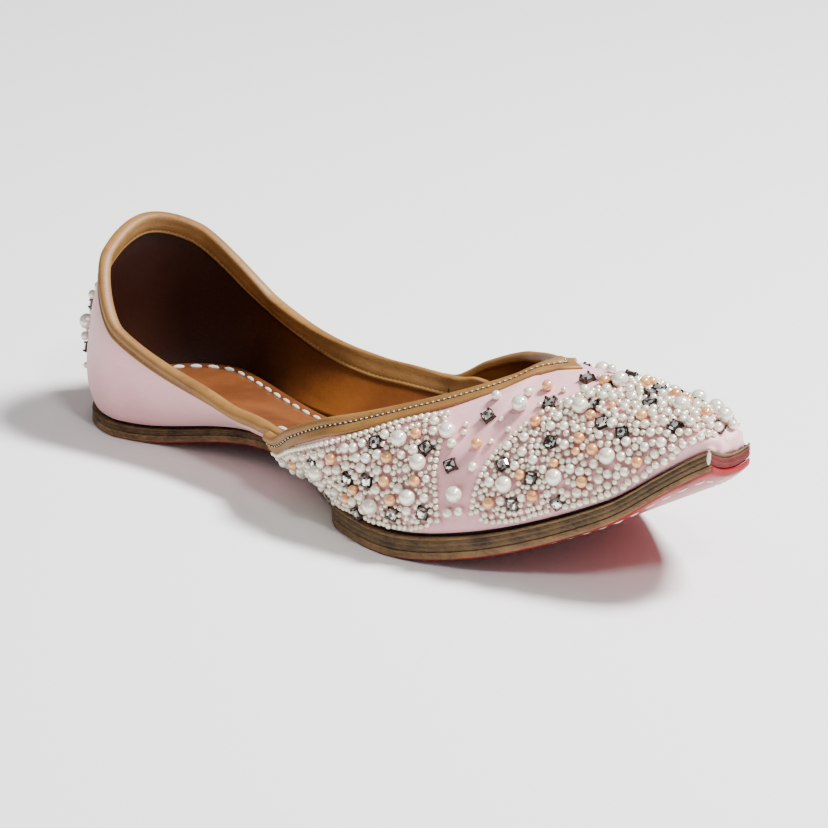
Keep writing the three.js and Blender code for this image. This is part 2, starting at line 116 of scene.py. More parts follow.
class Finish:
    """A material with its shader, whose unvarying values are set on the shader's own sockets."""

    def __init__(self, name, **constants):
        self.material = bpy.data.materials.new(name)
        self.material.use_nodes = True
        self.tree = self.material.node_tree
        self.shader = self.tree.nodes["Principled BSDF"]
        for key, value in constants.items():
            self.shader.inputs[key.replace("_", " ").title().replace("Ior", "IOR")].default_value = value

    def node(self, kind, settings=None, sockets=None, output=0):
        """A node of any type: its settings first, then the values or links of its sockets."""
        made = self.tree.nodes.new("ShaderNode" + kind)
        for key, value in (settings or {}).items():
            if key == "stops":
                ramp = made.color_ramp.elements
                while len(ramp) < len(value):
                    ramp.new(1.0)
                for stop, (place, colour) in zip(ramp, value):
                    stop.position = place
                    stop.color = colour
            else:
                setattr(made, key, value)
        for key, value in (sockets or {}).items():
            if isinstance(key, int):
                socket = made.inputs[key]
            else:
                socket = next(s for s in made.inputs if s.name == key and s.enabled)
            if isinstance(value, Signal):
                self.tree.links.new(value.socket, socket)
            else:
                socket.default_value = value
        if isinstance(output, int):
            shown = [s for s in made.outputs if s.enabled]
            return Signal(self, shown[output])
        return Signal(self, made.outputs[output])

    def place(self):
        """Where a point of the surface is, in metres."""
        return self.node("TexCoord", output="Object")

    def noise(self, scale, detail=2.0, roughness=0.5, vector=None):
        sockets = {"Scale": scale, "Detail": detail, "Roughness": roughness}
        sockets["Vector"] = self.place() if vector is None else vector
        return self.node("TexNoise", {"noise_dimensions": "3D"}, sockets)

    def mix(self, factor, a, b):
        return self.node("Mix", {"data_type": "RGBA"}, {"Factor": factor, "A": a, "B": b})

    def feed(self, **links):
        for key, signal in links.items():
            self.tree.links.new(signal.socket, self.shader.inputs[key.replace("_", " ").title()])

    def bump(self, height, distance, strength=1.0):
        self.feed(normal=self.node("Bump", None, {
            "Height": height, "Distance": distance, "Strength": strength,
        }))


def rgb(red, green, blue):
    """A colour as seen on a screen, 0 to 255, in the linear values that a shader takes."""
    shares = [value / 255 for value in (red, green, blue)]
    return (*[s / 12.92 if s < 0.04045 else ((s + 0.055) / 1.055) ** 2.4 for s in shares], 1.0)


FLOOR_SIDE = 12.0
floor_mesh = bpy.data.meshes.new("floor")
half_floor = FLOOR_SIDE / 2
floor_mesh.from_pydata(
    [(-half_floor, -half_floor, 0), (half_floor, -half_floor, 0), (half_floor, half_floor, 0),
     (-half_floor, half_floor, 0)], [], [(0, 1, 2, 3)])
floor = bpy.data.objects.new("floor", floor_mesh)
bpy.context.scene.collection.objects.link(floor)
paper = Finish("floor_paper", roughness=0.9)
paper.feed(base_color=paper.mix(paper.noise(3.0), rgb(246, 245, 243), rgb(250, 249, 247)))
floor_mesh.materials.append(paper.material)

world = bpy.data.worlds.new("studio")
world.use_nodes = True
world.node_tree.nodes["Background"].inputs["Color"].default_value = rgb(250, 250, 252)
world.node_tree.nodes["Background"].inputs["Strength"].default_value = 0.32
bpy.context.scene.world = world

# side: to the right of the view, near: towards the camera, and up, in metres from the shoe's middle
LIGHTS = [
    {"name": "key", "side": 0.75, "near": -0.05, "up": 1.25, "size": 0.34, "power": 66.0},
    {"name": "fill", "side": -0.7, "near": 1.2, "up": 0.8, "size": 1.2, "power": 1.5},
    {"name": "front", "side": 0.4, "near": 1.05, "up": 1.25, "size": 0.22, "power": 10.0},
]
aim = Vector(to_row(CAMERA_AIM))
level_ahead = Vector((ahead.x, ahead.y, 0)).normalized()
for row in LIGHTS:
    lamp_data = bpy.data.lights.new(row["name"], "AREA")
    lamp_data.size = row["size"]
    lamp_data.energy = row["power"]
    lamp = bpy.data.objects.new(row["name"], lamp_data)
    bpy.context.scene.collection.objects.link(lamp)
    lamp.location = aim + right * row["side"] - level_ahead * row["near"] + Vector((0, 0, row["up"]))
    lamp.rotation_mode = "QUATERNION"
    lamp.rotation_quaternion = (aim - lamp.location).to_track_quat("-Z", "Y")

# --- Outsole ---
# One layer of sole leather, cut to the whole outline, with a squared toe that turns up. Its underside
# is glazed deep red, and so is its cut edge across the toe; elsewhere the edge is left brown.

LENGTH = 247.0
HALF_BALL = 47.0
# Length of the heel's round end, way round it from the back, and half of the straight edge behind
HEEL_ROUND, HEEL_RUN, HEEL_CHORD = 27.0, 42.0, 4.0
# Between its flat parts the sole stands up by the arch's rise, less its twist on the outer side
FLAT_HEEL_END, FLAT_BALL_START = 30, 122
ARCH_RISE, ARCH_TWIST = 6.0, 4.5
SPRING_START, SPRING_POWER = 155.0, 1.74
TOE_RISE = 37.4
# Forward of the start the sole's edges curl up by the cup, and it rolls: inner edge up, outer down
CUP_START, TOE_CUP, TOE_ROLL = 220.0, 2.2, 0.12
LEAN_START, TOE_LEAN = 100, 3.0
OUTER_DROP = 4.4
OUTSOLE = 2.6
# The midsole under waist and heel, and how much thicker it is under ball and toes
MIDSOLE_BACK, MIDSOLE_STEP = 1.2, 2.6
GAP = 0.3

# at: share of the length from the back of the heel. half: share of the half width at the ball.
SOLE_WIDTHS = [
    {"at": 0.109, "half": 0.66},
    {"at": 0.344, "half": 0.385},
    {"at": 0.466, "half": 0.6},
    {"at": 0.53, "half": 0.885},
    {"at": 0.62, "half": 1.0},
    {"at": 0.735, "half": 0.86},
    {"at": 0.84, "half": 0.64},
    {"at": 0.93, "half": 0.44},
    {"at": 0.98, "half": 0.27},
    {"at": 1.0, "half": 0.19},
]


def smooth(low, high, value):
    t = np.clip((np.asarray(value, float) - low) / (high - low), 0, 1)
    return t * t * (3 - 2 * t)


def through_rows(places, values, starts_flat=False):
    """Smooth curve through the rows of a table that never swings past them."""
    places, values = np.array(places, float), np.array(values, float)
    slopes = np.diff(values) / np.diff(places)
    tangents = np.zeros(len(places))
    tangents[0] = 0 if starts_flat else slopes[0]
    tangents[-1] = slopes[-1]
    for i in range(1, len(places) - 1):
        product = slopes[i - 1] * slopes[i]
        if product > 0:
            tangents[i] = 2 * product / (slopes[i - 1] + slopes[i])

    def curve(place):
        place = np.asarray(place, float)
        i = np.clip(np.searchsorted(places, place) - 1, 0, len(places) - 2)
        width = places[i + 1] - places[i]
        u = (place - places[i]) / width
        rise = values[i + 1] - values[i]
        start, end = tangents[i] * width, tangents[i + 1] * width
        return values[i] + u * (start + u * (3 * rise - 2 * start - end + u * (start + end - 2 * rise)))

    return curve


side_width = through_rows(
    [row["at"] * LENGTH for row in SOLE_WIDTHS], [row["half"] * HALF_BALL for row in SOLE_WIDTHS])
HEEL_HALF = float(side_width(HEEL_ROUND))


def half_width(x, inset=0.0):
    """Half width of the sole's outline, drawn in by inset."""
    x = np.asarray(x, float)
    reach = np.clip((HEEL_ROUND - x) / (HEEL_ROUND - inset), 0, 1)
    rear = np.maximum(HEEL_CHORD, (HEEL_HALF - inset) * np.sqrt(1 - reach * reach))
    slope = side_width(np.minimum(x + 0.5, LENGTH)) - side_width(x - 0.5)
    return np.where(x < HEEL_ROUND, rear, side_width(np.maximum(x, HEEL_ROUND)) - inset * np.hypot(1, slope))


def midsole_thickness(x):
    return MIDSOLE_BACK + MIDSOLE_STEP * smooth(98, 138, x)


def arch_share(x):
    return np.sin(np.pi * np.clip((x - FLAT_HEEL_END) / (FLAT_BALL_START - FLAT_HEEL_END), 0, 1)) ** 2


def sole_height(x, across):
    """Underside of the sole; across runs from -1 to 1 over its width."""
    spring = np.clip((x - SPRING_START) / (LENGTH - SPRING_START), 0, 1)
    cup = TOE_CUP * smooth(CUP_START, LENGTH, x) * across * across
    return ARCH_RISE * arch_share(x) + TOE_RISE * spring ** SPRING_POWER + cup


def base_height(x):
    """From the underside of the sole to what the upper and the insole stand on."""
    return OUTSOLE + midsole_thickness(x) + 2 * GAP


def handed(points):
    """Makes it a left shoe: the toe swings to the inner side, where its edge is rolled up; collar and
    arch drop on the outer side."""
    points = np.asarray(points, float)
    x, y, z = points[..., 0], points[..., 1], points[..., 2]
    place = np.clip((x - LEAN_START) / (LENGTH - LEAN_START), 0, 1)
    beside = smooth(6, 34, x) * (1 - smooth(50, 92, x)) * smooth(2, 22, y)
    up = np.clip((z - 14) / 24, 0, 1)
    roll = TOE_ROLL * y * smooth(CUP_START, LENGTH, x)
    arch = ARCH_TWIST * arch_share(x) * smooth(-14, 14, y) * (1 - np.clip((z - 13) / 12, 0, 1))
    return np.stack([x, y - TOE_LEAN * place ** 1.5, z - OUTER_DROP * beside * up - roll - arch], -1)


def make_piece(name, points, faces, finishes, face_finish=None, level=None, turned=True):
    """A closed mesh on the shoe's root body, from places in millimetres and faces of any size."""
    mesh = bpy.data.meshes.new(name)
    placed = to_row(handed(points) if turned else points)
    mesh.from_pydata(placed.tolist(), [], [tuple(int(v) for v in face) for face in faces])
    for finish in finishes:
        mesh.materials.append(finish.material)
    if face_finish is not None:
        mesh.polygons.foreach_set("material_index", np.asarray(face_finish, np.int32))
    if level is not None:
        mesh.attributes.new("level", "FLOAT", "POINT").data.foreach_set(
            "value", np.asarray(level, np.float32))
    mesh.shade_smooth()
    mesh.update()
    piece = bpy.data.objects.new(name, mesh)
    bpy.context.scene.collection.objects.link(piece)
    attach(piece, "root")
    return piece


def grid_faces(rows, columns, start=0, closed=False):
    """Quads between rows of points; closed joins each row's last point to its first."""
    i = np.arange(rows - 1)[:, None]
    j = np.arange(columns if closed else columns - 1)[None, :]
    following = (j + 1) % columns
    a, b = start + i * columns + j, start + i * columns + following
    c, d = start + (i + 1) * columns + following, start + (i + 1) * columns + j
    return np.stack(np.broadcast_arrays(a, b, c, d), -1).reshape(-1, 4)


def outline_loop():
    """The sole's outline, once round anticlockwise from the back of the heel, with outward directions."""
    angles = np.linspace(math.asin(HEEL_CHORD / HEEL_HALF), np.pi / 2, 40)[:-1]
    x = np.concatenate([HEEL_ROUND * (1 - np.cos(angles)), np.linspace(HEEL_ROUND, LENGTH, 190)])
    right_side = np.stack([x, -half_width(x)], -1)
    toe_half = float(half_width(LENGTH))
    toe = np.stack([np.full(13, LENGTH), np.linspace(-toe_half, toe_half, 15)[1:-1]], -1)
    left_side = right_side[::-1] * [1, -1]
    chord = np.stack([np.full(3, x[0]), np.linspace(HEEL_CHORD, -HEEL_CHORD, 5)[1:-1]], -1)
    loop = np.concatenate([right_side, toe, left_side, chord])
    along = np.roll(loop, -1, 0) - np.roll(loop, 1, 0)
    along /= np.linalg.norm(along, axis=1, keepdims=True)
    outward = np.stack([along[:, 1], -along[:, 0]], -1)
    shared = sum(np.roll(outward, k, 0) for k in range(-6, 7))
    shared /= np.linalg.norm(shared, axis=1, keepdims=True)
    at_heel = smooth(6, 16, loop[:, :1]) * (1 - smooth(60, 75, loop[:, :1]))
    return loop, outward + (shared - outward) * at_heel


LOOP, OUTWARD = outline_loop()


def sole_ring(inset, height, toward_middle=0.0):
    """The outline drawn in by inset, then a share of the way to the middle line, at a height."""
    flat = LOOP - OUTWARD * np.reshape(inset, (-1, 1))
    spine = np.stack([np.clip(flat[:, 0], HEEL_ROUND, LENGTH - 5), np.zeros(len(flat))], -1)
    flat = flat + (spine - flat) * toward_middle
    across = np.clip(flat[:, 1] / half_width(np.clip(flat[:, 0], 0, LENGTH)), -1, 1)
    z = sole_height(np.clip(flat[:, 0], 0, LENGTH), across) + height
    return np.concatenate([flat, z[:, None]], 1)


def ringed_piece(name, rings, finishes, ring_finish, levels=None):
    """A piece from rings of points, each closed on itself, from the middle of one face to the other's.
    ring_finish has a number for each ring of faces, or one for each of its faces."""
    count = len(rings[0])
    points = np.concatenate(rings)
    faces = grid_faces(len(rings), count, closed=True)
    bands = len(rings) - 1
    face_finish = np.broadcast_to(np.reshape(ring_finish, (bands, -1)), (bands, count)).ravel()
    level = None if levels is None else np.repeat(levels, count)
    return make_piece(name, points, faces, finishes, face_finish, level)


loop_way = np.concatenate([[0], np.cumsum(np.linalg.norm(np.diff(LOOP, axis=0), axis=1))])


def wavering(size, phase, *lengths):
    """Small uneven waves round the outline, as a knife leaves them; phase shifts them along it."""
    total = sum(
        np.sin(2 * np.pi * loop_way / length + (1.7 + phase) * (i + 1))
        for i, length in enumerate(lengths))
    return size * total / len(lengths)


glaze = Finish("red_glaze", roughness=0.4, specular_ior_level=0.25)
scuffs = glaze.noise(55.0, 5.0, 0.65).above(0.5, 0.72)
glaze.feed(
    base_color=glaze.mix(scuffs, rgb(132, 0, 9), rgb(84, 0, 5)), roughness=scuffs * 0.22 + 0.34)
glaze.bump(glaze.noise(420.0, 4.0), 0.00012, 0.5)


def cut_leather(name, light, dark, band_scale):
    """Cut edge of leather: fibres that run along it, lighter and darker in bands."""
    finish = Finish(name, roughness=0.78)
    level = finish.node("Attribute", {"attribute_name": "level"}, output="Fac")
    stretched = finish.node("Mapping", None, {"Vector": finish.place(), "Scale": (0.25, 0.25, 1.0)})
    fibres = finish.noise(2400.0, 4.0, 0.65, stretched)
    patches = finish.noise(130.0, 4.0, 0.6)
    bands = finish.node(
        "TexNoise", {"noise_dimensions": "1D"}, {"W": level, "Scale": band_scale, "Detail": 2.0})
    tone = fibres * 0.45 + bands * 0.35 + patches * 0.5
    finish.feed(base_color=finish.mix(tone.above(0.48, 0.8), dark, light))
    finish.bump(fibres * 0.7 + bands * 0.5, 0.0003, 0.8)
    return finish


edge_tan = cut_leather("sole_edge", rgb(136, 104, 68), rgb(78, 52, 32), 5.0)

# inset from the outline and height over the underside, from the ground up; red marks the glazed part
OUTSOLE_PROFILE = [
    {"inset": 0.8, "height": 0.0, "red": 1},
    {"inset": 0.3, "height": 0.08, "red": 1},
    {"inset": 0.08, "height": 0.3, "red": 1},
    {"inset": 0.0, "height": 0.5, "red": 0},
    {"inset": -0.05, "height": 1.2, "red": 0},
    {"inset": 0.0, "height": 1.9, "red": 0},
    {"inset": 0.1, "height": 2.3, "red": 0},
    {"inset": 0.5, "height": 2.55, "red": 0},
    {"inset": 3.0, "height": 2.6, "red": 0},
]
foot_inset, top_inset = OUTSOLE_PROFILE[0]["inset"], OUTSOLE_PROFILE[-1]["inset"]
underside = [sole_ring(foot_inset, 0.0, share) for share in (1.0, 0.85, 0.65, 0.45, 0.28, 0.14, 0.05)]
wall = [
    sole_ring(row["inset"] + wavering(0.1, 0.3 * row["height"], 7.3, 11.9, 3.1), row["height"])
    for row in OUTSOLE_PROFILE
]
top = [sole_ring(top_inset, OUTSOLE, share) for share in (0.3, 0.7, 1.0)]
outsole_rings = underside + wall + top
glazed = [0] * len(underside) + [1 - row["red"] for row in OUTSOLE_PROFILE] + [1] * (len(top) - 1)
shares_up = [row["height"] / OUTSOLE for row in OUTSOLE_PROFILE]
heights = [0.0] * len(underside) + shares_up + [1.0] * len(top)
at_toe = (LOOP[:, 0] > LENGTH - 0.1) & (np.roll(LOOP[:, 0], -1) > LENGTH - 0.1)
glazed = np.where(at_toe[None, :], 0, np.reshape(glazed, (-1, 1)))
outsole = ringed_piece("outsole_leather", outsole_rings, [glaze, edge_tan], glazed, heights)
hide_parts("outsole")

# --- Midsole ---
# Leather layers pasted on the outsole, about 4 mm under ball and toes and skived to 1 mm under waist
# and heel. The edge is raw brown, but dyed dark red across the toe; the top layer stands out as a
# thin paler lip under the upper.

# up: share of the layer's height, with grooves where two leathers meet; lip marks the top layer
MIDSOLE_PROFILE = [
    {"inset": 0.6, "up": 0.0, "lip": 0},
    {"inset": 0.2, "up": 0.03, "lip": 0},
    {"inset": 0.05, "up": 0.08, "lip": 0},
    {"inset": 0.0, "up": 0.22, "lip": 0},
    {"inset": 0.05, "up": 0.34, "lip": 0},
    {"inset": 0.22, "up": 0.38, "lip": 0},
    {"inset": 0.08, "up": 0.42, "lip": 0},
    {"inset": 0.12, "up": 0.56, "lip": 0},
    {"inset": 0.14, "up": 0.7, "lip": 0},
    {"inset": 0.45, "up": 0.76, "lip": 0},
    {"inset": 0.5, "up": 0.8, "lip": 0},
    {"inset": 0.1, "up": 0.84, "lip": 1},
    {"inset": -0.05, "up": 0.9, "lip": 1},
    {"inset": 0.05, "up": 0.96, "lip": 1},
    {"inset": 0.4, "up": 1.0, "lip": 1},
    {"inset": 1.2, "up": 1.01, "lip": 1},
    {"inset": 1.7, "up": 1.0, "lip": 0},
    {"inset": 3.2, "up": 0.98, "lip": 0},
]
# Rows of the edge that are dyed at the toe, from the ground up
DYED_ROWS = 8
stack_brown = cut_leather("stacked_edge", rgb(100, 76, 44), rgb(40, 26, 14), 9.0)
lip_tan = cut_leather("sole_lip", rgb(124, 94, 56), rgb(74, 50, 28), 3.0)
dyed = cut_leather("dyed_toe_edge", rgb(104, 16, 8), rgb(44, 8, 4), 7.0)
stack_foot = OUTSOLE + 0.12
stack_height = midsole_thickness(np.clip(LOOP[:, 0], 0, LENGTH)) + 0.5
wall = [
    sole_ring(
        row["inset"] + wavering(0.22, 1.5 * row["up"], 17.0, 9.1, 5.3, 2.7),
        stack_foot + row["up"] * stack_height)
    for row in MIDSOLE_PROFILE
]
foot_inset, top_inset = MIDSOLE_PROFILE[0]["inset"], MIDSOLE_PROFILE[-1]["inset"]
floor_rings = [sole_ring(foot_inset, stack_foot, share) for share in (1.0, 0.6, 0.2)]
top_rings = [sole_ring(top_inset, stack_foot + 0.97 * stack_height, share) for share in (0.3, 0.7, 1.0)]
lips = [row["lip"] for row in MIDSOLE_PROFILE]
finish_rows = np.reshape([0] * len(floor_rings) + lips + [0] * (len(top_rings) - 1), (-1, 1))
below_lip = np.arange(len(finish_rows))[:, None] < len(floor_rings) + DYED_ROWS
finish_rows = np.where(at_toe[None, :] & below_lip, 2, finish_rows)
ups = [row["up"] for row in MIDSOLE_PROFILE]
level_rows = [0.0] * len(floor_rings) + ups + [1.0] * len(top_rings)
midsole = ringed_piece(
    "stacked_midsole", floor_rings + wall + top_rings, [stack_brown, lip_tan, dyed], finish_rows, level_rows)
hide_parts("midsole")

# --- Sole stitching ---
# Thick white cotton. A running stitch goes round the underside near its edge, and one upright thread
# binds the layers at each corner of the toe.

cotton = Finish("white_cotton", roughness=0.85, sheen_weight=0.3)
twist = cotton.node(
    "TexWave", {"wave_type": "BANDS", "bands_direction": "DIAGONAL"},
    {"Vector": cotton.place(), "Scale": 1500.0, "Distortion": 1.5})
cotton.feed(base_color=cotton.mix(cotton.noise(260.0), rgb(246, 242, 232), rgb(222, 212, 196)))
cotton.bump(twist, 0.0002, 0.7)


def ball_template(segments, rings):
    """Points and faces of a ball of radius 1 with its poles on z."""
    points = [(0.0, 0.0, 1.0)]
    for i in range(1, rings):
        tilt = math.pi * i / rings
        points += [
            (math.sin(tilt) * math.cos(turn_), math.sin(tilt) * math.sin(turn_), math.cos(tilt))
            for turn_ in (2 * math.pi * j / segments for j in range(segments))
        ]
    points.append((0.0, 0.0, -1.0))
    last = len(points) - 1
    faces = []
    for j in range(segments):
        k = (j + 1) % segments
        faces.append((0, 1 + j, 1 + k))
        faces.append((last, last - segments + k, last - segments + j))
        for i in range(rings - 2):
            a, b = 1 + i * segments + j, 1 + i * segments + k
            faces.append((a, a + segments, b + segments, b))
    return np.array(points), faces


def copies(name, template, frames, places, finishes, face_finish=None, tints=None):
    """Many copies of one shape, each with its own axes (as columns, scaled) and its own place."""
    points, faces = template
    count = len(points)
    all_points = (np.einsum("nij,kj->nki", frames, points) + places[:, None, :]).reshape(-1, 3)
    all_faces = [tuple(v + count * n for v in face) for n in range(len(places)) for face in faces]
    finish_rows = None if face_finish is None else np.tile(face_finish, len(places))
    level = None if tints is None else np.repeat(tints, count)
    return make_piece(name, all_points, all_faces, finishes, finish_rows, level, turned=False)


def unit(vectors):
    return vectors / np.linalg.norm(vectors, axis=-1, keepdims=True)


def stitch_frames(path, normals, pitch, length, radius, start=0.0, sunk=0.3):
    """Axes and places of stitches spaced along a path, each lying along it."""
    way = np.concatenate([[0], np.cumsum(np.linalg.norm(np.diff(path, axis=0), axis=1))])
    at = np.arange(start + length / 2, way[-1] - length / 2, pitch)
    places = np.stack([np.interp(at, way, path[:, k]) for k in range(3)], -1)
    ends = [np.stack([np.interp(at + s, way, path[:, k]) for k in range(3)], -1) for s in (-0.4, 0.4)]
    along = unit(ends[1] - ends[0])
    out = unit(np.stack([np.interp(at, way, normals[:, k]) for k in range(3)], -1))
    across = unit(np.cross(out, along))
    out = np.cross(along, across)
    frames = np.stack([along * length / 2, across * radius, out * radius], -1)
    return frames, places - out * radius * sunk


STITCH = ball_template(8, 8)
# How far in from the edge of the sole, and of the insole, the seam runs
SOLE_SEAM, INSOLE_SEAM = 3.4, 3.5
stitched = LOOP - OUTWARD * SOLE_SEAM
across_sole = np.clip(stitched[:, 1] / half_width(np.clip(stitched[:, 0], 0, LENGTH)), -1, 1)
thread_path = handed(np.concatenate([stitched, sole_height(stitched[:, 0], across_sole)[:, None]], 1))
thread_path = np.concatenate([thread_path, thread_path[:1]])
below = np.tile([0.0, 0.0, -1.0], (len(thread_path), 1))
frames, places = stitch_frames(thread_path, below, pitch=5.4, length=3.6, radius=0.55, sunk=0.5)
toe_half = float(half_width(LENGTH))
corner_frames, corner_places = [], []
for side in (1, -1):
    foot = handed(np.array([LENGTH - 0.8, side * (toe_half + 0.25), float(sole_height(LENGTH, 1.0)) + 4.4]))
    corner_frames.append(np.diag([0.7, 0.7, 2.3]))
    corner_places.append(foot)
frames = np.concatenate([frames, corner_frames])
places = np.concatenate([places, corner_places])
copies("sole_thread", STITCH, frames, places, [cotton])

# --- Insole ---
# A thin brown leather sole inside the shoe, padded under the heel, sewn down all round with thick
# white cotton that lies in a shallow channel near its edge.

INSOLE = 1.5
HEEL_PAD = 3.0
WALL = 1.8
SOLE_LIP = 1.4
INSOLE_END = 240.0


def insole_inset(x):
    lap = smooth(74, 96, x) * (1 - smooth(134, 142, x))
    return SOLE_LIP + WALL + 0.1 + 1.2 * lap


def insole_ring(inward, height, toward_middle=0.0):
    x = np.clip(LOOP[:, 0], 0, LENGTH)
    ring = sole_ring(insole_inset(x) + inward, 0.0, toward_middle)
    ring[:, 0] = np.minimum(ring[:, 0], INSOLE_END - inward)
    across = np.clip(ring[:, 1] / half_width(ring[:, 0]), -1, 1)
    pad = HEEL_PAD * (1 - smooth(30, 80, ring[:, 0])) if height > 0.5 else 0
    ring[:, 2] = sole_height(ring[:, 0], across) + base_height(ring[:, 0]) + height + pad
    return ring


# inward: from the insole's edge. down: under its upper face. The channel is the dip from 2.3 to 4.9.
INSOLE_PROFILE = [
    {"inward": 0.0, "down": 0.5},
    {"inward": 0.3, "down": 0.12},
    {"inward": 0.9, "down": 0.0},
    {"inward": 2.3, "down": 0.0},
    {"inward": 2.8, "down": 0.22},
    {"inward": 3.2, "down": 0.42},
    {"inward": 3.8, "down": 0.42},
    {"inward": 4.3, "down": 0.2},
    {"inward": 4.9, "down": 0.0},
]
insole_leather = Finish("insole_leather", roughness=0.55, specular_ior_level=0.35)
mottle = insole_leather.noise(38.0, 4.0, 0.6)
pores = insole_leather.noise(900.0, 3.0, 0.6)
insole_tone = insole_leather.mix(mottle.above(0.35, 0.7), rgb(90, 46, 16), rgb(118, 66, 28))
# The insole is painted darker where its face dips, in the channel and at its rounded edge: painted shade.
channel_shade = insole_leather.node("Attribute", {"attribute_name": "level"}, output="Fac")
insole_leather.feed(
    base_color=insole_leather.mix(channel_shade * 0.75, insole_tone, rgb(70, 36, 20)),
    roughness=mottle * 0.25 + 0.38)
insole_leather.bump(pores * 0.6 + mottle * 0.4, 0.0002, 0.6)
bottom = [insole_ring(0.0, 0.3, share) for share in (1.0, 0.6, 0.2)]
face = [insole_ring(row["inward"], INSOLE - row["down"]) for row in INSOLE_PROFILE]
channel_end = INSOLE_PROFILE[-1]["inward"]
middle = [insole_ring(channel_end, INSOLE, share) for share in (0.1, 0.2, 0.35, 0.5, 0.7, 1.0)]
marks = [0.0] * len(bottom) + [min(1.0, row["down"] * 2) for row in INSOLE_PROFILE] + [0.0] * len(middle)
insole = ringed_piece(
    "insole_leather", bottom + face + middle, [insole_leather],
    [0] * (len(marks) - 1), marks)
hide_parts("insole")

seam = handed(insole_ring(INSOLE_SEAM, INSOLE - 0.35))
seam = np.concatenate([seam, seam[:1]])
over = np.tile([0.0, 0.0, 1.0], (len(seam), 1))
frames, places = stitch_frames(seam, over, pitch=5.6, length=3.9, radius=0.72, sunk=-0.25)
copies("insole_thread", STITCH, frames, places, [cotton])

# --- Upper ---
# Blush satin over a stiffener, lined with brown leather. The vamp laps over the quarter at both
# sides, closes over the toes, and is drawn in under its lower edge where it is lasted to the sole.

HEEL_HEIGHT = 61.8
INSTEP_HEIGHT = 55.4
APEX = 180.5
NOSE_START = 237.0
NOSE_END = 246.0
VAMP_REAR = 100.0
LAP_START = 78.0
WING_END = 134.0
WING_HEIGHT = 21.8

# foot: where a section leaves the sole. x, y, z: where it ends, at the collar, the throat or the
# ridge. low, lift: how far its lower part leans out and how high; high, drop: its upper part.
SECTIONS = [
    {"foot": 0, "x": 8.2, "y": 0, "z": HEEL_HEIGHT, "low": 6, "lift": 0.3, "high": 3.5, "drop": 0.35},
    {"foot": 11, "x": 12.4, "y": 21, "z": 0.9 * HEEL_HEIGHT, "low": 7, "lift": 0.3, "high": 4, "drop": 0.35},
    {"foot": 32, "x": 32, "y": 35, "z": 0.6 * HEEL_HEIGHT, "low": 6, "lift": 0.3, "high": 2, "drop": 0.35},
    {"foot": 65, "x": 65, "y": 34, "z": 0.42 * HEEL_HEIGHT, "low": 8, "lift": 0.3, "high": -2, "drop": 0.35},
    {"foot": 86, "x": 86, "y": 36.6, "z": 0.36 * HEEL_HEIGHT,
     "low": 10, "lift": 0.25, "high": -3, "drop": 0.35},
    {"foot": 103, "x": 103, "y": 41.4, "z": 0.388 * INSTEP_HEIGHT, "low": 12.5, "lift": 0.25, "high": -1.5,
     "drop": 0.36},
    {"foot": 115, "x": 115, "y": 44.2, "z": 0.51 * INSTEP_HEIGHT, "low": 12, "lift": 0.35, "high": 2.5,
     "drop": 0.3},
    {"foot": 129, "x": 129, "y": 43.6, "z": 0.625 * INSTEP_HEIGHT, "low": 9, "lift": 0.4, "high": 5,
     "drop": 0.27},
    {"foot": 139, "x": 139, "y": 39.6, "z": 0.683 * INSTEP_HEIGHT, "low": 5, "lift": 0.45, "high": 7.5,
     "drop": 0.18},
    {"foot": 153, "x": 153, "y": 30, "z": 0.77 * INSTEP_HEIGHT,
     "low": 3, "lift": 0.5, "high": 11, "drop": 0.1},
    {"foot": 163.5, "x": 163.5, "y": 20, "z": 0.843 * INSTEP_HEIGHT, "low": 2.5, "lift": 0.5, "high": 15,
     "drop": 0.1},
    {"foot": 172.5, "x": 172.5, "y": 10, "z": 0.919 * INSTEP_HEIGHT, "low": 2, "lift": 0.5, "high": 18,
     "drop": 0.1},
    {"foot": APEX, "x": APEX, "y": 0, "z": INSTEP_HEIGHT, "low": 2, "lift": 0.5, "high": 22, "drop": 0.1},
    {"foot": 205, "x": 205, "y": 0, "z": INSTEP_HEIGHT, "low": 1.5, "lift": 0.5, "high": 18, "drop": 0.03},
    {"foot": 228, "x": 228, "y": 0, "z": 0.97 * INSTEP_HEIGHT, "low": 1, "lift": 0.5, "high": 13, "drop": 0},
    {"foot": 243, "x": 243, "y": 0, "z": 0.945 * INSTEP_HEIGHT,
     "low": 0.5, "lift": 0.5, "high": 8, "drop": 0},
    {"foot": 247, "x": 247, "y": 0, "z": 0.935 * INSTEP_HEIGHT,
     "low": 0.5, "lift": 0.5, "high": 7, "drop": 0},
]


def run_at(x):
    """Way along the sole's edge from the back of the heel to the place x along the shoe."""
    x = np.asarray(x, float)
    round_heel = HEEL_RUN * np.arccos(np.clip(1 - x / HEEL_ROUND, -1, 1)) / (np.pi / 2)
    return np.where(x < HEEL_ROUND, round_heel, HEEL_RUN + x - HEEL_ROUND)


def section_column(name, rows=SECTIONS, starts_flat=True):
    feet = [float(run_at(row["foot"])) for row in rows]
    return through_rows(feet, [row[name] for row in rows], starts_flat)


end_x, end_z = section_column("x"), section_column("z")
throat_y = section_column("y", [row for row in SECTIONS if row["foot"] <= APEX], False)
lean = {name: section_column(name) for name in ("low", "lift", "high", "drop")}
APEX_RUN = float(run_at(APEX))


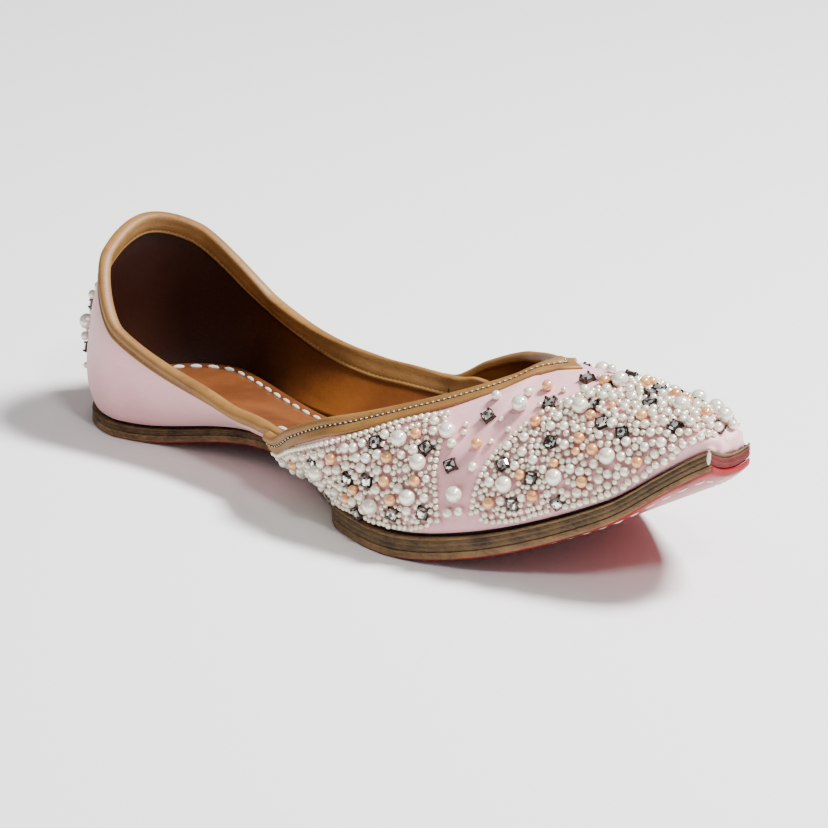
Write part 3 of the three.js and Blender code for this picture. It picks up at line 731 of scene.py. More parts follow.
def form(run, rise):
    """Outer face of the left half of the upper; rise goes from 0 at the sole to 1."""
    run, rise = np.broadcast_arrays(np.asarray(run, float), np.asarray(rise, float))
    angle = np.pi / 2 * np.clip(run / HEEL_RUN, 0, 1)
    out_x, out_y = -np.cos(angle) / HEEL_ROUND, np.sin(angle) / HEEL_HALF
    size = np.hypot(out_x, out_y)
    rear = run < HEEL_RUN
    out_x, out_y = np.where(rear, out_x / size, 0), np.where(rear, out_y / size, 1)
    x = HEEL_ROUND + run - HEEL_RUN
    y = half_width(x, SOLE_LIP)
    foot_x = np.where(rear, HEEL_ROUND * (1 - np.cos(angle)) - SOLE_LIP * out_x, x)
    foot_y = np.where(rear, HEEL_HALF * np.sin(angle) - SOLE_LIP * out_y, y)
    foot_z = np.where(rear, base_height(0), base_height(x) + sole_height(x, y / half_width(x)))
    top_x, top_z = end_x(run), end_z(run)
    top_y = np.where(run < APEX_RUN, throat_y(run), 0)
    height = top_z - foot_z
    place = np.clip((foot_x - NOSE_START) / (NOSE_END - NOSE_START), 0, 1)
    nose = np.sqrt(1 - place * place)
    low, high = lean["low"](run) * nose, lean["high"](run)
    corners = [
        np.stack([foot_x, foot_y, foot_z], -1),
        np.stack([foot_x + out_x * low, foot_y + out_y * low, foot_z + lean["lift"](run) * height], -1),
        np.stack([top_x + out_x * high, top_y + out_y * high, top_z - lean["drop"](run) * height], -1),
        np.stack([top_x, top_y, top_z], -1),
    ]
    t = rise[..., None]
    weights = [(1 - t) ** 3, 3 * t * (1 - t) ** 2, 3 * t * t * (1 - t), t ** 3]
    p = sum(w * c for w, c in zip(weights, corners))
    p[..., 2] = foot_z + (p[..., 2] - foot_z) * nose
    return p


def form_normal(run, rise):
    run, rise = np.broadcast_arrays(np.asarray(run, float), np.asarray(rise, float))
    along = form(np.minimum(run + 0.25, float(run_at(NOSE_END))), rise) - form(run - 0.25, rise)
    up = form(run, np.minimum(rise + 0.01, 1)) - form(run, np.maximum(rise - 0.01, 0))
    normal = np.cross(up, along)
    normal[..., 1] = np.where((rise >= 1) & (run >= APEX_RUN), 0, normal[..., 1])
    return unit(normal)


def inside(run, rise, depth):
    return form(run, rise) - form_normal(run, rise) * np.asarray(depth)[..., None]


def on_base(points):
    """Puts the lower edge back on the level that the upper stands on."""
    x = np.clip(points[..., 0], 0, LENGTH)
    points[..., 2] = base_height(x) + sole_height(x, points[..., 1] / half_width(x))
    return points


def height_on(run, rise):
    """Millimetres up the face from the sole."""
    shares = np.linspace(0, 1, 25)
    line = form(run[:, :1], shares[None, :])
    way = np.concatenate([np.zeros((len(run), 1)), np.cumsum(
        np.linalg.norm(np.diff(line, axis=1), axis=2), axis=1)], 1)
    return np.stack([np.interp(rise[i], shares, way[i]) for i in range(len(run))])


def drawn_in(run, rise, side):
    """How deep the satin lies under the form: tucked in at the sole, puckered above it, and pulled
    into soft hollows where the toe is folded over and where the ball spreads."""
    up = height_on(run, rise)
    x = form(run, 0 * rise)[..., 0]
    tuck = 1.5 * (1 - smooth(0.1, 1.5, up))
    turn_in = 0.25 * (1 - smooth(1.2, 3.0, up))
    beat = run + 1.3 * np.sin(run / 9.0 + side)
    pucker = np.cos(2 * np.pi * beat / 6.7) + 0.6 * np.cos(2 * np.pi * beat / 4.1 + 1.0 + side)
    near_sole = smooth(1.2, 3.0, up) * (1 - smooth(4.0, 10.0, up)) * smooth(104, 118, x)
    toe_folds = np.cos(2 * np.pi * (run - 0.35 * up) / 5.2 + side) * smooth(222, 234, x)
    folds = 0.3 * toe_folds * smooth(1.5, 4, up) * (1 - smooth(6, 13, up))
    slack = 0.22 * np.sin(run / 7.5 + 0.25 * up + side) * smooth(4, 10, up) * (1 - smooth(0.82, 0.95, rise))
    puff = 0.9 * smooth(230, 243, x) * smooth(2, 5, up) * (1 - smooth(0.75, 1.0, rise))
    return tuck + turn_in + 0.2 * pucker * near_sole + folds + slack * smooth(104, 112, x) - puff


satin = Finish("blush_satin", roughness=0.5, sheen_weight=0.35, sheen_roughness=0.35)
cloudy = satin.noise(22.0, 3.0, 0.55)
slub = satin.noise(1.0, 3.0, 0.6, satin.node(
    "Mapping", None, {"Vector": satin.place(), "Scale": (260.0, 900.0, 900.0)}))
threads = satin.node(
    "TexWave", {"wave_type": "BANDS", "bands_direction": "Z"},
    {"Vector": satin.place(), "Scale": 1100.0, "Distortion": 2.0, "Detail": 1.0})
blush = satin.mix(cloudy.above(0.3, 0.75), rgb(234, 180, 184), rgb(220, 160, 166))
satin.feed(
    base_color=satin.mix(slub.above(0.45, 0.8) * 0.3, blush, rgb(240, 200, 206)),
    roughness=cloudy * 0.12 + slub * 0.1 + 0.36)
satin.bump(slub * 0.7 + threads * 0.3, 0.00012, 0.55)

lining = Finish("brown_lining", roughness=0.65, specular_ior_level=0.2)
rubbed = lining.noise(30.0, 4.0, 0.6)
hide = lining.noise(700.0, 4.0, 0.6)
along_shoe = lining.node("SeparateXYZ", None, {"Vector": lining.place()}, output="X")
from_heel = along_shoe - float(HEEL_BACK[0])
# Darker in the heel cup and under the vamp towards the toe, where the inside of the shoe lies deep: painted
# shade.
painted_interior_shade = 1 - from_heel.above(0.012, 0.085) + from_heel.above(0.118, 0.15) * 0.75
worn_tone = lining.mix(rubbed.above(0.3, 0.72), rgb(82, 38, 8), rgb(116, 64, 16))
lining.feed(
    base_color=lining.mix(painted_interior_shade * 0.94, worn_tone, rgb(34, 9, 4)),
    roughness=rubbed * 0.25 + 0.45)
lining.bump(hide * 0.7 + rubbed * 0.3, 0.00025, 0.6)


# Dark brown laid on the lowest rows of the satin, where it tucks in over the sole: painted shade of that
# recess.
tuck_shade = Finish("painted_tuck_shade", roughness=0.9)
tuck_shade.feed(base_color=tuck_shade.mix(tuck_shade.noise(200.0), rgb(52, 28, 18), rgb(26, 12, 8)))


def shell(outer, inner, edges, shaded_rows):
    """Half of a shell from two grids of places: satin outside and on its edges, leather inside.
    edges says which sides of the grids are cut edges; the others join the other half. The last argument says
    how many rows of faces at the sole are painted dark brown: painted shade where the satin tucks in."""
    rows, columns = outer.shape[:2]
    count = rows * columns
    number = np.arange(2 * count).reshape(2, rows, columns)
    rims = []
    for rows_cut, columns_cut in edges:
        outer_path, inner_path = (number[k][rows_cut, columns_cut] for k in (0, 1))
        rims.append(np.stack([outer_path[:-1], outer_path[1:], inner_path[1:], inner_path[:-1]], -1))
    grids = [grid_faces(rows, columns), grid_faces(rows, columns, count)]
    rim = np.concatenate(rims)
    faces = np.concatenate([*grids, rim])
    marks = np.repeat([0, 1, 0], [len(grids[0]), len(grids[1]), len(rim)])
    marks[:len(grids[0])][np.arange(len(grids[0])) % (columns - 1) < shaded_rows] = 2
    return np.concatenate([outer.reshape(-1, 3), inner.reshape(-1, 3)]), faces, marks


def turn_out(piece, weld_within=None):
    """Turns a closed piece's faces outwards, after joining places that meet."""
    work = bmesh.new()
    work.from_mesh(piece.data)
    if weld_within:
        bmesh.ops.remove_doubles(work, verts=work.verts, dist=weld_within)
    bmesh.ops.recalc_face_normals(work, faces=work.faces)
    work.to_mesh(piece.data)
    work.free()


def both_halves(name, halves, finishes):
    """Left and right halves as one closed mesh, welded along the ridge or at the back."""
    points, faces, marks = [], [], []
    for side, (half_points, half_faces, half_marks) in zip((1, -1), halves):
        faces.append(half_faces + sum(len(p) for p in points))
        points.append(half_points * [1, side, 1])
        marks.append(half_marks)
    piece = make_piece(name, np.concatenate(points), np.concatenate(faces), finishes, np.concatenate(marks))
    turn_out(piece, 0.004 * MM)
    return piece


APEX_ROW = 95
nose_angles = np.linspace(0, np.pi / 2, 14)[1:]
vamp_x = np.concatenate([
    np.linspace(VAMP_REAR, APEX, APEX_ROW + 1), np.linspace(APEX, NOSE_START, 66)[1:],
    NOSE_START + (NOSE_END - NOSE_START) * np.sin(nose_angles)])
vamp_rise = np.concatenate([[0, 0.008, 0.018, 0.03, 0.045, 0.06, 0.08], np.linspace(0.1, 1, 40)])
VAMP_RUN, VAMP_RISE = np.meshgrid(run_at(vamp_x), vamp_rise, indexing="ij")
nose_share = np.sqrt(1 - np.clip((vamp_x - NOSE_START) / (NOSE_END - NOSE_START), 0, 1) ** 2)[:, None]


def vamp_half(side):
    depth = np.minimum(drawn_in(VAMP_RUN, VAMP_RISE, side), 1.4)
    held = np.where((depth > 0) & (VAMP_RISE > 0.1), nose_share, 1)
    outer = inside(VAMP_RUN, VAMP_RISE, depth * held)
    inner = inside(VAMP_RUN, VAMP_RISE, np.full(VAMP_RUN.shape, WALL))
    inner[-1] = form(VAMP_RUN[-1], VAMP_RISE[-1]) - [WALL + 0.8, 0, 0]
    for grid in (outer, inner):
        base = on_base(grid.copy())[..., 2]
        grid[..., 2] += (base - base[:, :1]) * (1 - nose_share)
        on_base(grid[:, 0])
        grid[APEX_ROW:, -1, 1] = 0
    every = slice(None)
    edges = [(every, 0), (0, every), (slice(0, APEX_ROW + 1), -1), (-1, every)]
    return shell(outer, inner, edges, 2)


vamp = both_halves("vamp", [vamp_half(1), vamp_half(-1)], [satin, lining, tuck_shade])
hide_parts("upper")


def quarter_depth(run, rise):
    """How deep under the form the quarter lies: flush at the heel, inside the vamp further forward."""
    x = form(run, 0 * rise)[..., 0]
    upper_part = smooth(0.35, 0.7, rise)
    lap = smooth(LAP_START, VAMP_REAR, x) * (WALL - 0.6 + 0.9 * upper_part)
    return lap + 1.5 * smooth(VAMP_REAR, VAMP_REAR + 14, x) * upper_part


def quarter_top(run):
    """How far up the form the quarter reaches."""
    run = np.asarray(run, float)
    x = form(run, 0 * run)[..., 0]
    below, above = np.zeros(run.shape), np.ones(run.shape)
    for _ in range(30):
        middle = (below + above) / 2
        low = form(run, middle)[..., 2] < WING_HEIGHT
        below, above = np.where(low, middle, below), np.where(low, above, middle)
    whole = (x < VAMP_REAR) | (form(run, 1 + 0 * run)[..., 2] <= WING_HEIGHT)
    return np.where(whole, 1.0, above)


def quarter_face(run, rise):
    return inside(run, rise, quarter_depth(run, rise))


def quarter_lining(run, rise):
    return inside(run, rise, quarter_depth(run, rise) + WALL)


quarter_x = np.concatenate([
    HEEL_ROUND * (1 - np.cos(np.linspace(0, np.pi / 2, 30))),
    np.linspace(HEEL_ROUND, VAMP_REAR - 0.01, 60)[1:],
    np.linspace(VAMP_REAR, WING_END, 26)])
quarter_run = run_at(quarter_x)
quarter_share = np.concatenate([[0, 0.015, 0.035, 0.06], np.linspace(0.1, 1, 26)])
QUARTER_RUN = np.repeat(quarter_run[:, None], len(quarter_share), 1)
QUARTER_RISE = quarter_share[None, :] * quarter_top(quarter_run)[:, None]


def quarter_half(side):
    up = height_on(QUARTER_RUN, QUARTER_RISE)
    tuck = 1.0 * (1 - smooth(0.1, 1.5, up)) + 0.2 * (1 - smooth(1.2, 3.0, up))
    soft = 0.18 * np.sin(QUARTER_RUN / 6.5 + 0.2 * up + side) * smooth(3, 8, up)
    soft = soft * (1 - smooth(0.8, 0.95, QUARTER_RISE))
    depth = quarter_depth(QUARTER_RUN, QUARTER_RISE)
    outer = inside(QUARTER_RUN, QUARTER_RISE, depth + tuck + soft * smooth(12, 30, QUARTER_RUN))
    inner = inside(QUARTER_RUN, QUARTER_RISE, depth + WALL)
    for grid in (outer, inner):
        on_base(grid[:, 0])
        grid[0, :, 1] = 0
    every = slice(None)
    return shell(outer, inner, [(every, 0), (every, -1), (-1, every)], 1)


quarter = both_halves("quarter", [quarter_half(1), quarter_half(-1)], [satin, lining, tuck_shade])
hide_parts("upper")

# --- Bindings ---
# Tan leather strips folded over the cut edges. The throat strip follows the V of the vamp and is
# machine stitched; the collar strip is rolled, and runs round the heel and on inside the vamp.

# down: from the edge along the face. out: over the face. From the outer lower edge up to the fold.
THROAT_LEG = [
    {"down": 5.3, "out": -0.1},
    {"down": 5.25, "out": 0.45},
    {"down": 5.0, "out": 0.8},
    {"down": 4.5, "out": 0.95},
    {"down": 3.9, "out": 0.8},
    {"down": 3.2, "out": 0.72},
    {"down": 2.6, "out": 0.72},
    {"down": 2.15, "out": 0.55},
    {"down": 1.9, "out": 0.38},
    {"down": 1.65, "out": 0.55},
    {"down": 1.3, "out": 0.95},
    {"down": 0.7, "out": 1.15},
    {"down": 0.1, "out": 1.2},
]
THROAT_INNER = [{"down": 0.1, "out": 0.6}, {"down": 0.7, "out": 0.5}, {"down": 1.0, "out": 0.2},
                {"down": 1.1, "out": -0.1}]
COLLAR_LEG = [
    {"down": 3.3, "out": -0.1},
    {"down": 3.25, "out": 0.35},
    {"down": 3.05, "out": 0.62},
    {"down": 2.7, "out": 0.7},
    {"down": 2.3, "out": 0.5},
    {"down": 2.0, "out": 0.22},
    {"down": 1.8, "out": 0.45},
    {"down": 1.4, "out": 0.85},
    {"down": 0.9, "out": 1.05},
    {"down": 0.4, "out": 1.1},
    {"down": 0.0, "out": 1.05},
]
COLLAR_INNER = [{"down": 0.1, "out": 1.0}, {"down": 1.2, "out": 0.8}, {"down": 2.6, "out": 0.7},
                {"down": 3.9, "out": 0.72}, {"down": 4.4, "out": 0.5}, {"down": 4.7, "out": 0.42},
                {"down": 5.0, "out": 0.6}, {"down": 5.4, "out": 0.6}, {"down": 5.6, "out": 0.3},
                {"down": 5.65, "out": -0.1}]
# The row of each leg that the stitches pull in, and the places of a section round its fold
THROAT_GROOVE, COLLAR_GROOVE, INNER_GROOVE = 8, 5, 5
FOLD_PLACES = 7
# How much further the strip reaches in the mitre at the point of the V
MITRE = 1.45


def nearest(surface, run, rise, target):
    """Places on a surface nearest to the targets, searched from places close to them."""
    for _ in range(8):
        here = surface(run, rise)
        along = (surface(run + 0.1, rise) - here) * 10
        up = (here - surface(run, rise - 0.002)) * 500
        off = target - here
        aa, au, uu = ((a * b).sum(-1) for a, b in ((along, along), (along, up), (up, up)))
        oa, ou = (off * along).sum(-1), (off * up).sum(-1)
        det = aa * uu - au * au
        run = run + (oa * uu - ou * au) / det
        rise = np.minimum(1, rise + (ou * aa - oa * au) / det)
    return run, rise


def strip_rows(face, back, run, edge_rise, outer_leg, inner_leg, fold, full=1.0, pointed=False):
    """Sections of a strip folded over an edge of the left half, one row of places for each run.
    full thins its outer leg where something lies over it. A pointed strip meets its mirror image
    in a mitre at its first section."""
    rise = edge_rise(run)
    full = np.broadcast_to(full, run.shape)[:, None]
    edge, edge_back, normal = face(run, rise), back(run, rise), form_normal(run, rise)
    behind = np.maximum(run - 0.2, 0)
    along = unit(face(run + 0.2, edge_rise(run + 0.2)) - face(behind, edge_rise(behind)))
    away = unit(np.cross(normal, along))
    stretch = np.ones(len(run))
    if pointed:
        level = np.array([normal[0, 2], 0.0, -normal[0, 0]])
        level /= np.linalg.norm(level)
        stretch[0] = MITRE / float(away[1] @ level)
        away[0] = level

    def leg(surface, start, rows, sign, thickness):
        for row in rows:
            r, s = nearest(surface, run, rise, start + away * (row["down"] * stretch)[:, None])
            yield surface(r, s) + form_normal(r, s) * sign * row["out"] * thickness

    centre = (edge + edge_back) / 2
    half_wall = np.linalg.norm(edge - edge_back, axis=1, keepdims=True) / 2
    over_edge = []
    for angle in np.linspace(0, np.pi, FOLD_PLACES + 2)[1:-1]:
        out = half_wall + fold * (full if angle < np.pi / 2 else inner_leg[0]["out"] / outer_leg[-1]["out"])
        raised = away * stretch[:, None] * math.sin(angle) * fold
        over_edge.append(centre + normal * math.cos(angle) * out - raised)
    columns = [*leg(face, edge, outer_leg, 1, full), *over_edge, *leg(back, edge_back, inner_leg, -1, 1)]
    return np.stack(columns, 1)


def folded_strip(name, half_rows, finish):
    """The whole strip, from its left half and the mirror image, as a closed piece; its places too."""
    right_rows = half_rows[:0:-1] * [1, -1, 1]
    rows = np.concatenate([right_rows, half_rows])
    middle = len(right_rows)
    rows[middle, :, 1] = 0
    count, columns = rows.shape[:2]
    ends = [tuple(range(columns)), tuple((count - 1) * columns + j for j in range(columns))]
    faces = [*grid_faces(count, columns, closed=True).tolist(), *ends]
    piece = make_piece(name, rows.reshape(-1, 3), faces, [finish])
    turn_out(piece)
    return piece, handed(rows)


def seam_on(rows, column):
    """A path along one column of a strip's places, and the directions out of the leather there."""
    path = rows[:, column]
    along = np.gradient(path, axis=0)
    across = rows[:, column + 1] - rows[:, column - 1]
    out = unit(np.cross(across, along))
    facing = (out * (path - rows.mean(1))).sum(-1, keepdims=True)
    return path, out * np.sign(facing.mean())


tan = Finish("tan_binding", roughness=0.5)
waxed = tan.noise(32.0, 4.0, 0.6)
creased = tan.noise(1.0, 4.0, 0.65, tan.node(
    "Mapping", None, {"Vector": tan.place(), "Scale": (300.0, 300.0, 900.0)}))
grain = tan.noise(1300.0, 3.0, 0.6)
tan_tone = tan.mix(waxed.above(0.3, 0.72), rgb(118, 80, 34), rgb(148, 105, 50))
tan.feed(
    base_color=tan.mix(creased.above(0.52, 0.8) * 0.6, tan_tone, rgb(84, 50, 18)),
    roughness=waxed * 0.2 + 0.42)
tan.bump(creased * 0.6 + grain * 0.4, 0.0002, 0.7)


def machine_thread(name, roughness, light, dark):
    thread = Finish(name, roughness=roughness)
    thread.feed(base_color=thread.mix(thread.noise(500.0), light, dark))
    return thread


pale_thread = machine_thread("pale_thread", 0.7, rgb(238, 226, 200), rgb(206, 184, 148))
tan_thread = machine_thread("tan_thread", 0.7, rgb(164, 122, 70), rgb(120, 82, 42))
dark_thread = machine_thread("dark_thread", 0.75, rgb(46, 26, 14), rgb(24, 12, 8))


def all_at_top(run):
    return np.ones(np.shape(run))


def vamp_lining(run, rise):
    return inside(run, rise, np.full(np.shape(run), WALL))


throat_x = np.concatenate([[APEX], np.linspace(APEX - 0.5, VAMP_REAR + 0.25, 150)])
throat_rows = strip_rows(
    form, vamp_lining, run_at(throat_x), all_at_top, THROAT_LEG, THROAT_INNER, 1.15, pointed=True)
throat_strip, throat_places = folded_strip("throat_strip", throat_rows, tan)
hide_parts("throat_binding")

path, out = seam_on(throat_places, THROAT_GROOVE)
STITCH_PITCH = 1.7
frames, places = stitch_frames(path, out, STITCH_PITCH, length=1.75, radius=0.44, sunk=-0.2)
copies("throat_stitches_dark", STITCH, frames, places, [dark_thread])
frames, places = stitch_frames(path, out, STITCH_PITCH, length=0.95, radius=0.26, start=0.4, sunk=-1.3)
copies("throat_stitches_pale", STITCH, frames, places, [pale_thread])

collar_x = np.concatenate([
    HEEL_ROUND * (1 - np.cos(np.linspace(0, np.pi / 2, 50))),
    np.linspace(HEEL_ROUND, WING_END - 0.5, 170)[1:]])
under_vamp = 1 - 0.8 * smooth(VAMP_REAR - 5, VAMP_REAR - 1, collar_x)
collar_rows = strip_rows(
    quarter_face, quarter_lining, run_at(collar_x), quarter_top, COLLAR_LEG, COLLAR_INNER, 1.05, under_vamp)
collar_strip, collar_places = folded_strip("collar_strip", collar_rows, tan)
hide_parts("collar_binding")

path, out = seam_on(collar_places, COLLAR_GROOVE)
shown = path[:, 0] < VAMP_REAR - 1
frames, places = stitch_frames(path[shown], out[shown], pitch=1.5, length=0.8, radius=0.24, sunk=-0.2)
copies("collar_stitches_outer", STITCH, frames, places, [tan_thread])
inner_column = len(COLLAR_LEG) + FOLD_PLACES + INNER_GROOVE
path, out = seam_on(collar_places, inner_column)
frames, places = stitch_frames(path, out, pitch=1.7, length=0.8, radius=0.2, sunk=0.1)
copies("collar_stitches_inner", STITCH, frames, places, [tan_thread])

# --- Beadwork ---
# Seed pearls, larger ivory and peach pearls and square cut stones in claw settings, sewn to the satin.
# A dense patch covers each rear wing and another the toe; the band between them is sparse.

SEED, MID, PEACH, LARGE, STONE = 0.95, 1.5, 1.75, 2.5, 1.85
# Pitch of a border in radii, and the least room for a seed pearl as a share of its radius: under 1
# it is pressed into its neighbour
BORDER_PITCH, BORDER_SHARE, FILL_SHARE = 2.04, 0.75, 0.84
MIDDLING_RADII, PEACH_SHARE = (1.25, 1.65), 0.05
# Seed pearls vary in size: whole ones first, then small ones for the gaps left
SEED_LOTS = (0.94, 1.06), (0.68, 0.78)
# A pearl is a little flat, and its middle stands this share of its radius over the satin
PEARL_FLAT, PEARL_UP = 0.94, 0.84
RADII = {"seed": SEED, "mid": MID, "peach": PEACH, "large": LARGE, "stone": STONE}

# Outline of each patch, and each place: x along the shoe from the back of the heel, and rise
REAR_INNER = [
    (102.5, 0.70), (110, 0.715), (120, 0.715), (130, 0.715), (140, 0.73), (150, 0.755), (158, 0.775),
    (164, 0.76), (166, 0.6), (167.5, 0.45), (168.5, 0.34), (170.5, 0.21), (172, 0.08), (165, 0.05),
    (155, 0.05), (145, 0.05), (135, 0.06), (125, 0.08), (115, 0.12), (106, 0.2), (102.5, 0.4),
]
TOE_INNER = [
    (206, 1.0), (204.5, 0.93), (202, 0.84), (197, 0.73), (191, 0.6), (187.5, 0.5), (184.5, 0.4),
    (183, 0.3), (182.3, 0.2), (182.2, 0.1), (188, 0.06), (195, 0.05), (200, 0.06), (206, 0.07),
    (211, 0.065), (216, 0.07), (221, 0.08), (226, 0.1), (231, 0.13), (235, 0.18), (238.5, 0.27),
    (241, 0.42), (242.5, 0.62), (243.2, 0.8), (243.5, 1.0),
]
REAR_OUTER = [
    (102.5, 0.70), (110, 0.715), (120, 0.715), (130, 0.715), (140, 0.73), (149, 0.74), (153, 0.66),
    (156, 0.5), (159, 0.34), (161, 0.2), (162, 0.08), (155, 0.05), (145, 0.05), (135, 0.06),
    (125, 0.08), (115, 0.12), (106, 0.2), (102.5, 0.4),
]
TOE_OUTER = [
    (206, 1.0), (208, 0.9), (212, 0.76), (215.5, 0.6), (218, 0.42), (219.5, 0.25), (220, 0.09),
    (224, 0.1), (227, 0.14), (229.5, 0.22), (232, 0.37), (236, 0.55), (239.5, 0.8), (241, 1.0),
]
INNER_PLACES = {
    "stone": [
        (147.5, 0.61), (125, 0.5), (140, 0.33), (147.5, 0.31), (127.5, 0.12), (143.5, 0.07), (157.5, 0.12),
        (167.3, 0.13), (163.5, 0.51), (172.5, 0.37), (176.5, 0.62), (192.5, 0.7), (196, 0.92),
        (203.5, 0.97), (217.6, 0.96), (220.8, 0.86), (206.2, 0.715), (212.6, 0.6),
        (220.2, 0.54), (234.5, 0.62), (188.5, 0.345), (198, 0.26), (200, 0.46), (194, 0.135),
        (206.5, 0.1), (242.2, 0.97),
    ],
    "large": [
        (128, 0.41), (155, 0.6), (163.2, 0.42), (162.5, 0.22), (150.5, 0.15), (167.5, 0.59),
        (176.5, 0.21), (184.5, 0.66), (191, 0.24), (205, 0.25), (219, 0.36), (230, 0.93),
        (206.7, 0.95), (203.6, 0.68),
    ],
    "peach": [
        (134, 0.54), (159, 0.62), (154, 0.31), (139, 0.16), (178, 0.45), (153, 0.47), (163.5, 0.31),
        (157, 0.2), (187.5, 0.8), (208.5, 0.48), (222.8, 0.7), (228.3, 0.26), (213.3, 0.2),
        (199.7, 0.165), (187.3, 0.155), (192.5, 0.575), (237.5, 0.97), (112, 0.5),
        (202.3, 0.92), (213.8, 0.41),
    ],
    "mid": [
        (170.3, 0.5), (179.5, 0.33), (175, 0.76), (183.5, 0.74), (162, 0.7), (175, 0.12),
        (178.5, 0.12), (199.5, 0.82), (198, 0.55), (210, 0.8), (211.5, 0.92), (225, 0.75),
        (187.5, 0.44), (197, 0.36), (212, 0.27), (218, 0.2), (223, 0.35), (229, 0.4), (242.5, 0.9),
        (116, 0.62), (122, 0.35), (136, 0.42), (143, 0.5), (151, 0.38), (146, 0.2), (134, 0.2),
    ],
    "seed": [
        (171, 0.62), (172, 0.56), (181.5, 0.46), (185, 0.53), (193, 0.8), (199, 0.95), (240.5, 0.72),
        (243.5, 0.75), (190, 0.68), (180.5, 0.58),
    ],
}
OUTER_PLACES = {
    "stone": [
        (117, 0.5), (129, 0.5), (118, 0.3), (128, 0.27), (138, 0.11), (140, 0.4), (150, 0.55),
        (150, 0.3), (155, 0.13), (162, 0.65), (164.5, 0.43), (169, 0.72), (174, 0.2), (180.5, 0.6),
        (190.5, 0.5), (199.5, 0.8), (198.5, 0.3), (213, 0.62), (216.8, 0.935), (220, 0.76), (226.5, 0.78),
        (230, 0.5), (236, 0.62),
    ],
    "large": [
        (123, 0.4), (134, 0.58), (145, 0.22), (156, 0.36), (171, 0.5), (183, 0.35), (190.5, 0.56),
        (208.3, 0.37), (224.5, 0.7), (226, 0.3), (231, 0.64), (240, 0.86), (175, 0.64),
    ],
    "peach": [
        (112, 0.62), (134, 0.3), (143, 0.52), (148, 0.42), (167, 0.28), (177, 0.42), (186, 0.62),
        (200, 0.6), (206, 0.28), (223, 0.93), (222, 0.42), (234, 0.42), (186, 0.18),
    ],
    "mid": [
        (166, 0.58), (178, 0.26), (187, 0.42), (194, 0.6), (195, 0.42), (203, 0.42),
        (209, 0.72), (212, 0.4), (192, 0.22), (213, 0.2), (204, 0.75), (184, 0.68), (196, 0.9),
        (226, 0.5), (217, 0.6), (231, 0.28), (242.5, 0.8),
    ],
    "seed": [
        (168, 0.36), (181, 0.5), (184, 0.5), (198, 0.48), (201, 0.2), (190, 0.34),
        (241, 0.6), (172, 0.3),
    ],
}
# On the back of the heel, both sides of the middle: the way round from it, in millimetres, and rise
HEEL_PLACES = {
    "stone": [(0, 0.8), (8, 0.68), (0, 0.45), (19.5, 0.63), (17.5, 0.34), (9, 0.38)],
    "large": [(5, 0.78), (4, 0.56), (18.5, 0.5), (12, 0.5), (4.5, 0.33)],
    "peach": [(12, 0.76), (0, 0.6), (11, 0.27)],
    "mid": [(17, 0.7), (21, 0.44), (7.5, 0.5), (0, 0.3), (16, 0.42), (22, 0.7), (14, 0.62)],
    "seed": [
        (2.5, 0.68), (11, 0.6), (16, 0.55), (2, 0.38), (6.5, 0.44), (14, 0.36), (5, 0.22), (0, 0.2),
        (11, 0.84), (18, 0.8), (2.5, 0.86), (6.5, 0.87), (22, 0.56), (20, 0.25), (15, 0.2),
    ],
}


def on_satin(run, rise, side):
    """Places on the satin, in the shoe's own millimetres, once it is made a left shoe."""
    run, rise = np.reshape(run, (-1, 1)), np.reshape(rise, (-1, 1))
    return handed(inside(run, rise, drawn_in(run, rise, side))[:, 0] * [1, side, 1])


def within(outline, x, rise):
    """Whether places lie inside an outline."""
    found = np.zeros(len(x), bool)
    for (x0, r0), (x1, r1) in zip(outline, outline[1:] + outline[:1]):
        if r0 != r1:
            found ^= ((r0 > rise) != (r1 > rise)) & (x < x0 + (rise - r0) / (r1 - r0) * (x1 - x0))
    return found


def seed_size(x):
    """Radius of the seed pearls, which are larger towards the tip."""
    return SEED + 0.28 * smooth(196, 224, x)


